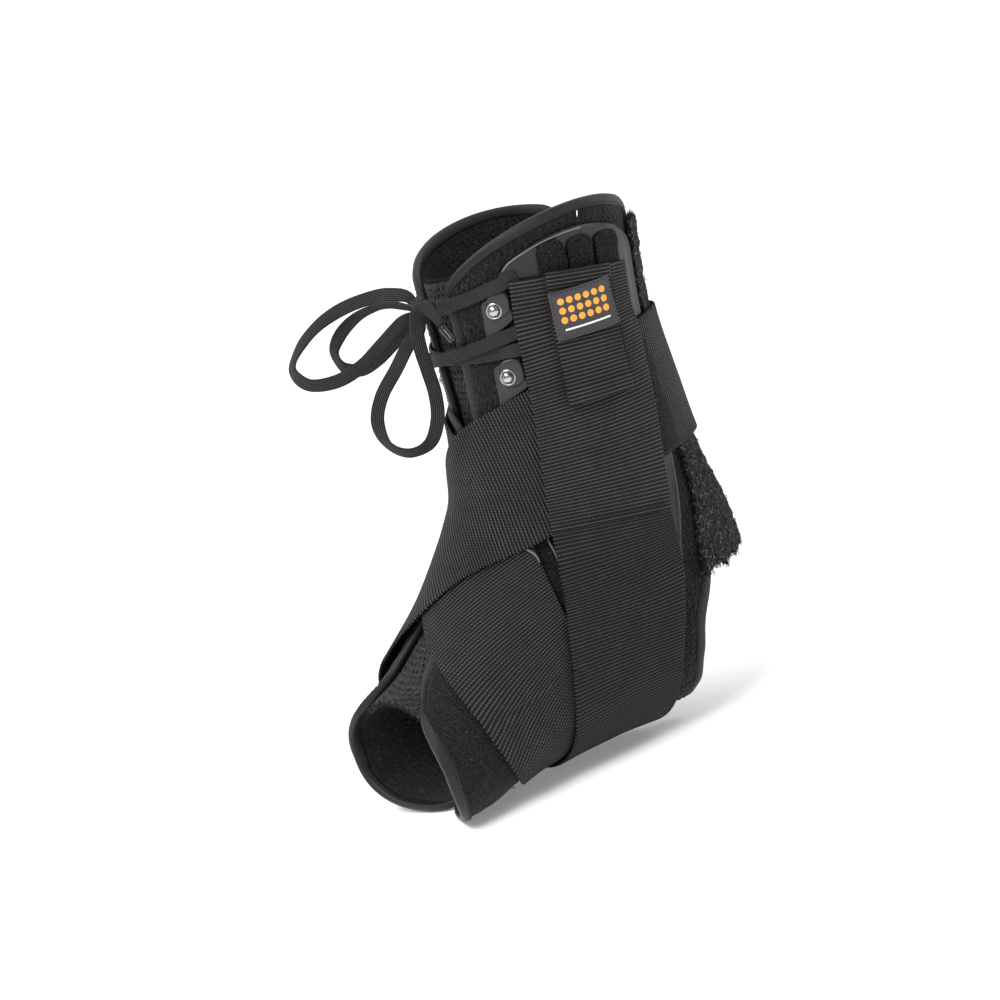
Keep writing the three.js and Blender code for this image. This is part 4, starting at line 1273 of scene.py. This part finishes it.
def soft_corners(u, v, r):
    """Shares with the corners of their square rounded."""
    ca = np.clip((np.abs(u - 0.5) - (0.5 - r)) / r, 0, 1)
    cb = np.clip((np.abs(v - 0.5) - (0.5 - r)) / r, 0, 1)
    a = u - np.sign(u - 0.5) * ca * (1 - np.sqrt(1 - cb * cb / 2)) * r
    b = v - np.sign(v - 0.5) * cb * (1 - np.sqrt(1 - ca * ca / 2)) * r
    return a, b


def put_tabs():
    # corners of the lower and upper fold: front top, rear top, rear bottom, front bottom
    folds = {
        "upper": ([[0.50, 38.2], [0.41, 53], [0.74, 54], [0.93, 36.6]],
                  [[0.455, 40.5], [0.40, 53.5], [0.67, 54], [0.70, 40.5]]),
        "lower": ([[1.20, 36.2], [1.13, 51.5], [1.50, 53], [1.66, 34.8]],
                  [[1.15, 38.5], [1.12, 52], [1.44, 53], [1.46, 38.5]]),
    }
    # node, corner radius as a share, height, thickness and rise of the lower and upper fold
    layers = (("lace_tab", 0.12, FIRST, 0.85, 0.0), ("tab_fold", 0.42, FIRST + 0.75, 0.95, 0.3))
    for name, shapes in folds.items():
        for k, (node, radius, low, thick, rise) in enumerate(layers):
            a, b, c, d = np.array(shapes[k])

            def places(u, v):
                u, v = (share[..., None] for share in soft_corners(u, v, radius))
                place = (1 - v) * ((1 - u) * a + u * b) + v * ((1 - u) * d + u * c)
                return place[..., 0], place[..., 1]
            s, t, p, uv, rim, _ = place_grid(places, 26, 26)
            top = rise * rounding(rim, 3.0) + 0.08 * waves(p, 8, 60 + k)
            points, faces, inner = layer_mesh(s, t, np.full_like(s, low), thick, rounding(rim, 0.8), top)
            uvs = np.concatenate([uv.reshape(-1, 2), uv[inner]])
            put_pair(f"{node}_{name}", points, faces, "tab", uvs, dressed=k == 0)
        s, t = places(np.full(20, 0.12), np.linspace(0.12, 0.88, 20))
        lines = stitch_lines(s, t, np.full(20, low + thick + 0.25), 1.3, 0.5)
        put_bars(f"tab_stitches_{name}", both(lines), 0.16, "thread")


def put_rivets():
    # radius and height of the turned section: washer, groove and dome
    section = [
        (3.3, -0.35), (3.45, -0.05), (3.3, 0.24), (3.0, 0.34), (2.7, 0.2), (2.5, -0.15), (2.42, 0.1),
        (2.38, 0.6), (2.2, 1.1), (1.85, 1.5), (1.35, 1.78), (0.8, 1.92), (0.3, 1.97), (0.02, 1.98),
    ]
    sides, sink = 48, 0.25
    cosine, sine = np.cos(circle(sides))[:, None], np.sin(circle(sides))[:, None]
    for name, (s, t) in RIVETS.items():
        centre = over(np.array(s), np.array(t), OVER_TAB - sink)
        n = normal(np.array(s), np.array(t))
        side = unit(np.cross(n, [0, 0, 1.0]))
        spoke = cosine * side + sine * np.cross(n, side)
        p = np.concatenate([centre + n * h + r * spoke for r, h in section])
        quads = turned_out(ring_faces(len(section), sides), p, centre)
        cap = np.array([np.arange(sides)])
        for side, x in (("outer", 1), ("inner", -1)):
            node = f"{side}_rivet_{name}"
            put_mesh(node, p * [x, 1, 1], [quads[:, ::x], cap], "metal", None, [node])


# Routes of the laces between the tabs
TOP_LACE = [[0.31, 60], [0.34, 54], [0.37, 47], [0.40, 39], [0.44, 24], [0.46, 10], [0.46, 1]]
MIDDLE_LACE = [
    [0.86, 60], [0.87, 54], [0.90, 46], [0.93, 36], [0.97, 18], [1.00, 0], [1.02, -18], [1.05, -36],
    [1.06, -46], [1.06, -54], [1.06, -60],
]
LOWER_LACE = [
    [1.62, -13], [1.76, -4], [1.93, 10], [2.10, 7], [2.50, 1], [3.60, 0], [5.00, 0], [6.40, 0], [7.35, -4],
    [7.80, 1], [7.96, 12],
]


def put_laces():
    def under(s, t):
        return profile([[38, FIRST], [53, OVER_PLATE]], np.abs(t))

    def above(s, t):
        return profile([[36, OVER_LACE], [46, OVER_LACE + 0.3], [53, OVER_PLATE]], np.abs(t))

    def lower(s, t):
        return profile([[2.17, FIRST], [2.60, 0.3]], s)
    for name, route, height_at, mirror in (
        ("outer_top_lace", TOP_LACE, under, "inner_top_lace"),
        ("middle_lace_under", flip(MIDDLE_LACE), under, None),
        ("middle_lace_over", MIDDLE_LACE, above, None),
        ("lower_lace", LOWER_LACE, lower, None),
    ):
        put_strap(name, route, LACE_WIDTH, LACE, height_at, "lace", mirror, step=0.9)


def put_knot():
    """The knot: a squeezed ball with folds, and two wraps of lace round it."""
    centre = np.array([3.441, -55.394, 200.571])
    size = (5.2, 3.9, 4.9)
    lat, lon = np.meshgrid(np.linspace(0, np.pi, 40), circle(64), indexing="ij")
    fold = 0.5 + 0.5 * np.cos(lon * 3 + 2.2 * np.cos(lat * 2))
    r = 1.0 + 0.09 * (fold - 0.5) + 0.05 * np.sin(lat * 7 + lon * 2)
    p = np.stack([size[0] * r * np.sin(lat) * np.cos(lon), size[1] * r * np.sin(lat) * np.sin(lon),
                  size[2] * r * np.cos(lat)], -1)
    quads = ring_faces(*lat.shape)[:, [0, 3, 2, 1]]
    uvs = np.stack([lon.ravel() * 5, lat.ravel() * 5], -1)
    put_mesh("lace_knot", (p + centre).reshape(-1, 3), [quads], "lace", uvs, ["lace_knot"])
    stations, sides, half_width, half_thick = 40, 12, 2.3, 0.65
    cosine, sine = np.cos(circle(sides)), np.sin(circle(sides))
    for k, (lean, radius, shift) in enumerate(((0.35, 5.3, -0.9), (-0.5, 5.0, 1.6))):
        turn = np.linspace(0.3, 2 * np.pi + 0.1, stations)[:, None]
        axis = unit(view_right * math.cos(lean) + view_up * math.sin(lean))
        across_way = np.cross(axis, view_back)
        round_way = np.cos(turn) * across_way * 0.95 + np.sin(turn) * view_back * 0.85
        ring = centre + axis * shift + radius * round_way
        outward = unit(ring - centre - axis * shift)
        p = (ring[:, None] + axis * (signed_power(cosine, 0.7) * half_width)[None, :, None]
             + outward[:, None] * (signed_power(sine, 0.7) * half_thick)[None, :, None]).reshape(-1, 3)
        caps = [np.array([np.arange(sides)[::-1]]), np.array([(stations - 1) * sides + np.arange(sides)])]
        quads = ring_faces(stations, sides)
        if turned_out(quads, p, ring[0]) is not quads:
            quads, caps = quads[:, ::-1], [c[:, ::-1] for c in caps]
        across = cosine * half_width + LACE_WIDTH / 2
        uvs = np.stack([np.repeat(turn[:, 0] * radius, sides), np.tile(across, stations)], -1)
        put_mesh(f"knot_wrap_{k + 1}", p, [quads, *caps], "lace", uvs, ())


def put_aglet():
    line, _ = smooth_line(AGLET, 0.5)
    flare = np.ones(len(line))
    flare[:3] = [0.9, 1.05, 1.08]
    flare[-3:] = [1.0, 0.9, 0.5]
    points, quads, caps = tube(line, 1.7, 20, flare)
    return put_mesh("aglet", points, [quads, caps[:1], caps[1:]], "aglet", None, ["aglet"])


def put_seams(lift, tab):
    """Zigzag seam where the elastic joins the webbing, and the stitched box of the pull tab."""
    c = np.arange(-24, 24.1, 0.9)
    a = 2.4 + 1.5 * (np.arange(len(c)) % 2)
    corners = over(*on_strap(lift, a, c, 0.08))
    lines = np.stack([corners[:-1] + (corners[1:] - corners[:-1]) * q for q in (0.02, 0.5, 0.98)], 1)
    put_bars("side_seam", both(lines), 0.2, "thread")
    for k, row in enumerate((6.4, 1.4)):
        lines = stitch_lines(*on_strap(tab, np.full(60, row), np.linspace(-13.4, 13.4, 60), 0.3), 1.6, 0.5)
        put_bars(f"tab_seam_{k + 1}", both(lines), 0.2, "thread")


# Places of the short edges in the gap between the straps, pale bars painted as highlights, and of the loose
# stitch on the rim
GAP_EDGE = [[4.12, 51.0], [4.2, 51.7], [4.39, 53.4], [4.6, 54.9], [4.85, 56.6]]
GAP_SLIVER = [[4.43, 42.4], [4.46, 43.6], [4.51, 45.2], [4.6, 46.8], [4.74, 48.0]]
RIM_THREAD = [[-0.115, 96.9], [-0.09, 96.75], [-0.05, 96.4]]


def put_stay_highlights():
    """Pale bars on the stay's edges where they show, painted highlights, and a loose stitch on the rim."""
    count, last = 60, len(PLATE_ROWS) - 1
    tapers = [[end] + [1] * (count - 2) + [end] for end in (0.3, 0.2)]
    # the front edge between the straps, a pale bar painted as its highlight
    s, t = table(PLATE_ROWS, np.linspace(0.62, 0.93, count) * last).T[:2]
    line = over(s, t, np.full(count, FIRST + 1.0))
    put_bars("stay_front_highlight", both(line[None]), 0.75, "edge", 8, tapers[0])
    # the top edge, from the front corner to the rear, a pale bar painted as its highlight
    share = np.concatenate([np.linspace(0.11, 0.035, 20), np.full(40, 0.03)])
    v = np.concatenate([np.full(20, 0.03), np.linspace(0.04, 0.62, 40)])
    fs, ft, ms, rs, rt = table(PLATE_ROWS, share * last).T
    line = over(bend(fs, ms, rs, v), ft + (rt - ft) * v, np.full(count, FIRST + PLATE + 0.15))
    put_bars("stay_rim_highlight", both(eased(line, 2.0)[None]), 0.42, "edge", 6, tapers[1])
    # the short edges, pale bars painted as highlights, and the stitch: places, height, radius and look
    count = 24
    ends = np.sin(np.linspace(0.12, np.pi - 0.12, count)) ** 0.6
    for name, places, height, radius, look in (
        ("gap_edge_highlight", GAP_EDGE, 4.9, 0.5, "edge"),
        ("gap_sliver_highlight", GAP_SLIVER, 6.7, 0.62, "edge"),
        ("rim_thread", RIM_THREAD, 3.95, 0.32, "white"),
    ):
        s, t = table(places, np.linspace(0, len(places) - 1, count)).T
        line = over(s, t, np.full(count, height))
        put_bars(name, line[None], radius, look, 8, ends)


put_panels()
put_stay_highlights()
put_bindings()
put_tongue()
elastic_points, elastic_up = put_elastic()
put_plates()
put_hooks()
side_strap, pull_tab = put_straps()
put_label()
put_tabs()
put_rivets()
put_laces()
put_knot()
aglet = put_aglet()
put_seams(side_strap, pull_tab)

# the bow's loops, each taken with its piece, line and length
for name, far_end, extra in (("bow_loop_large", "object", ()), ("bow_loop_small", "object", ()),
                             ("bow_loop_hanging", "fitting", (aglet,))):
    piece, line, length = bow[name]

# frayed edges and raised loops of the elastic
PILE = 4600
i, j = (rng.integers(4, 122, PILE) for _ in range(2))
up = elastic_up[i, j]
lean = unit(up + rng.normal(size=(PILE, 3)))
fray("elastic_pile", elastic_points[i, j] + up * 0.9, lean, up, PILE, 1.7, seed=31, radius=0.12, bends=3)
for name, row, step, count, length in (
    ("elastic_fray_low", -1, -6, 1700, 2.6),
    ("elastic_fray_top", 0, 6, 600, 1.8),
):
    edge, inside = elastic_points[row], elastic_points[step]
    fray(name, edge, unit(edge - inside), elastic_up[row], count, length, seed=count)


# ---- light and floor ----
def put_floor():
    half = 60.0
    mesh = bpy.data.meshes.new("floor")
    corners = [(-half, -half, 0), (half, -half, 0), (half, half, 0), (-half, half, 0)]
    mesh.from_pydata(corners, [], [(0, 1, 2, 3)])
    k = Look("floor_paper")
    speck = k.noise(3, 3)
    color = k.mix(speck, (0.9, 0.9, 0.9), (0.93, 0.93, 0.93))
    look = k.finish(color, 0.9, speck, 0.02, Specular_IOR_Level=0.1, Emission_Color=(1, 1, 1, 1),
                    Emission_Strength=0.2)
    mesh.materials.append(look)
    floor = bpy.data.objects.new("floor", mesh)
    bpy.context.scene.collection.objects.link(floor)


def put_lamp(name, kind, azimuth, elevation, place, **values):
    """A lamp that looks at the brace from an azimuth and elevation; place gives its distance and the aim."""
    back = compass(azimuth, elevation)
    data = bpy.data.lights.new(name, kind)
    for key, value in values.items():
        setattr(data, key, value)
    lamp = bpy.data.objects.new(name, data)
    side = unit(np.cross([0, 0, 1.0], back))
    lamp.matrix_world = posed(side, np.cross(back, side), back, np.array(place[1]) + back * place[0])
    bpy.context.scene.collection.objects.link(lamp)


def put_world():
    """A studio that is brighter behind and to the left of the brace than at its right."""
    world = bpy.data.worlds.new("studio")
    bpy.context.scene.world = world
    world.use_nodes = True
    nodes, links = world.node_tree.nodes, world.node_tree.links
    way = nodes.new("ShaderNodeTexCoord")
    turned = nodes.new("ShaderNodeVectorMath")
    turned.operation = "DOT_PRODUCT"
    turned.inputs[1].default_value = (-0.906, 0.423, 0.25)
    links.new(way.outputs["Generated"], turned.inputs[0])
    spread = nodes.new("ShaderNodeMapRange")
    for k, v in enumerate((0.0, -0.35, 0.55, 0.32, 1.04)):
        spread.inputs[k].default_value = v
    links.new(turned.outputs["Value"], spread.inputs[0])
    links.new(spread.outputs[0], nodes["Background"].inputs[1])
    nodes["Background"].inputs[0].default_value = (1, 1, 1, 1)


put_floor()
put_world()
put_lamp("overhead", "SUN", 0, 62, (1.0, (0, 0, 0)), angle=math.radians(30), energy=1.3)
put_lamp("key", "AREA", 35, 40, (1.2, (0, -0.02, 0.1)), shape="SQUARE", size=0.5, energy=9)
put_lamp("rim", "AREA", 150, 40, (1.4, (0, -0.02, 0.1)), shape="SQUARE", size=0.6, energy=4.8)
bpy.context.scene.view_settings.view_transform = "Standard"
bpy.context.scene.view_settings.look = "None"
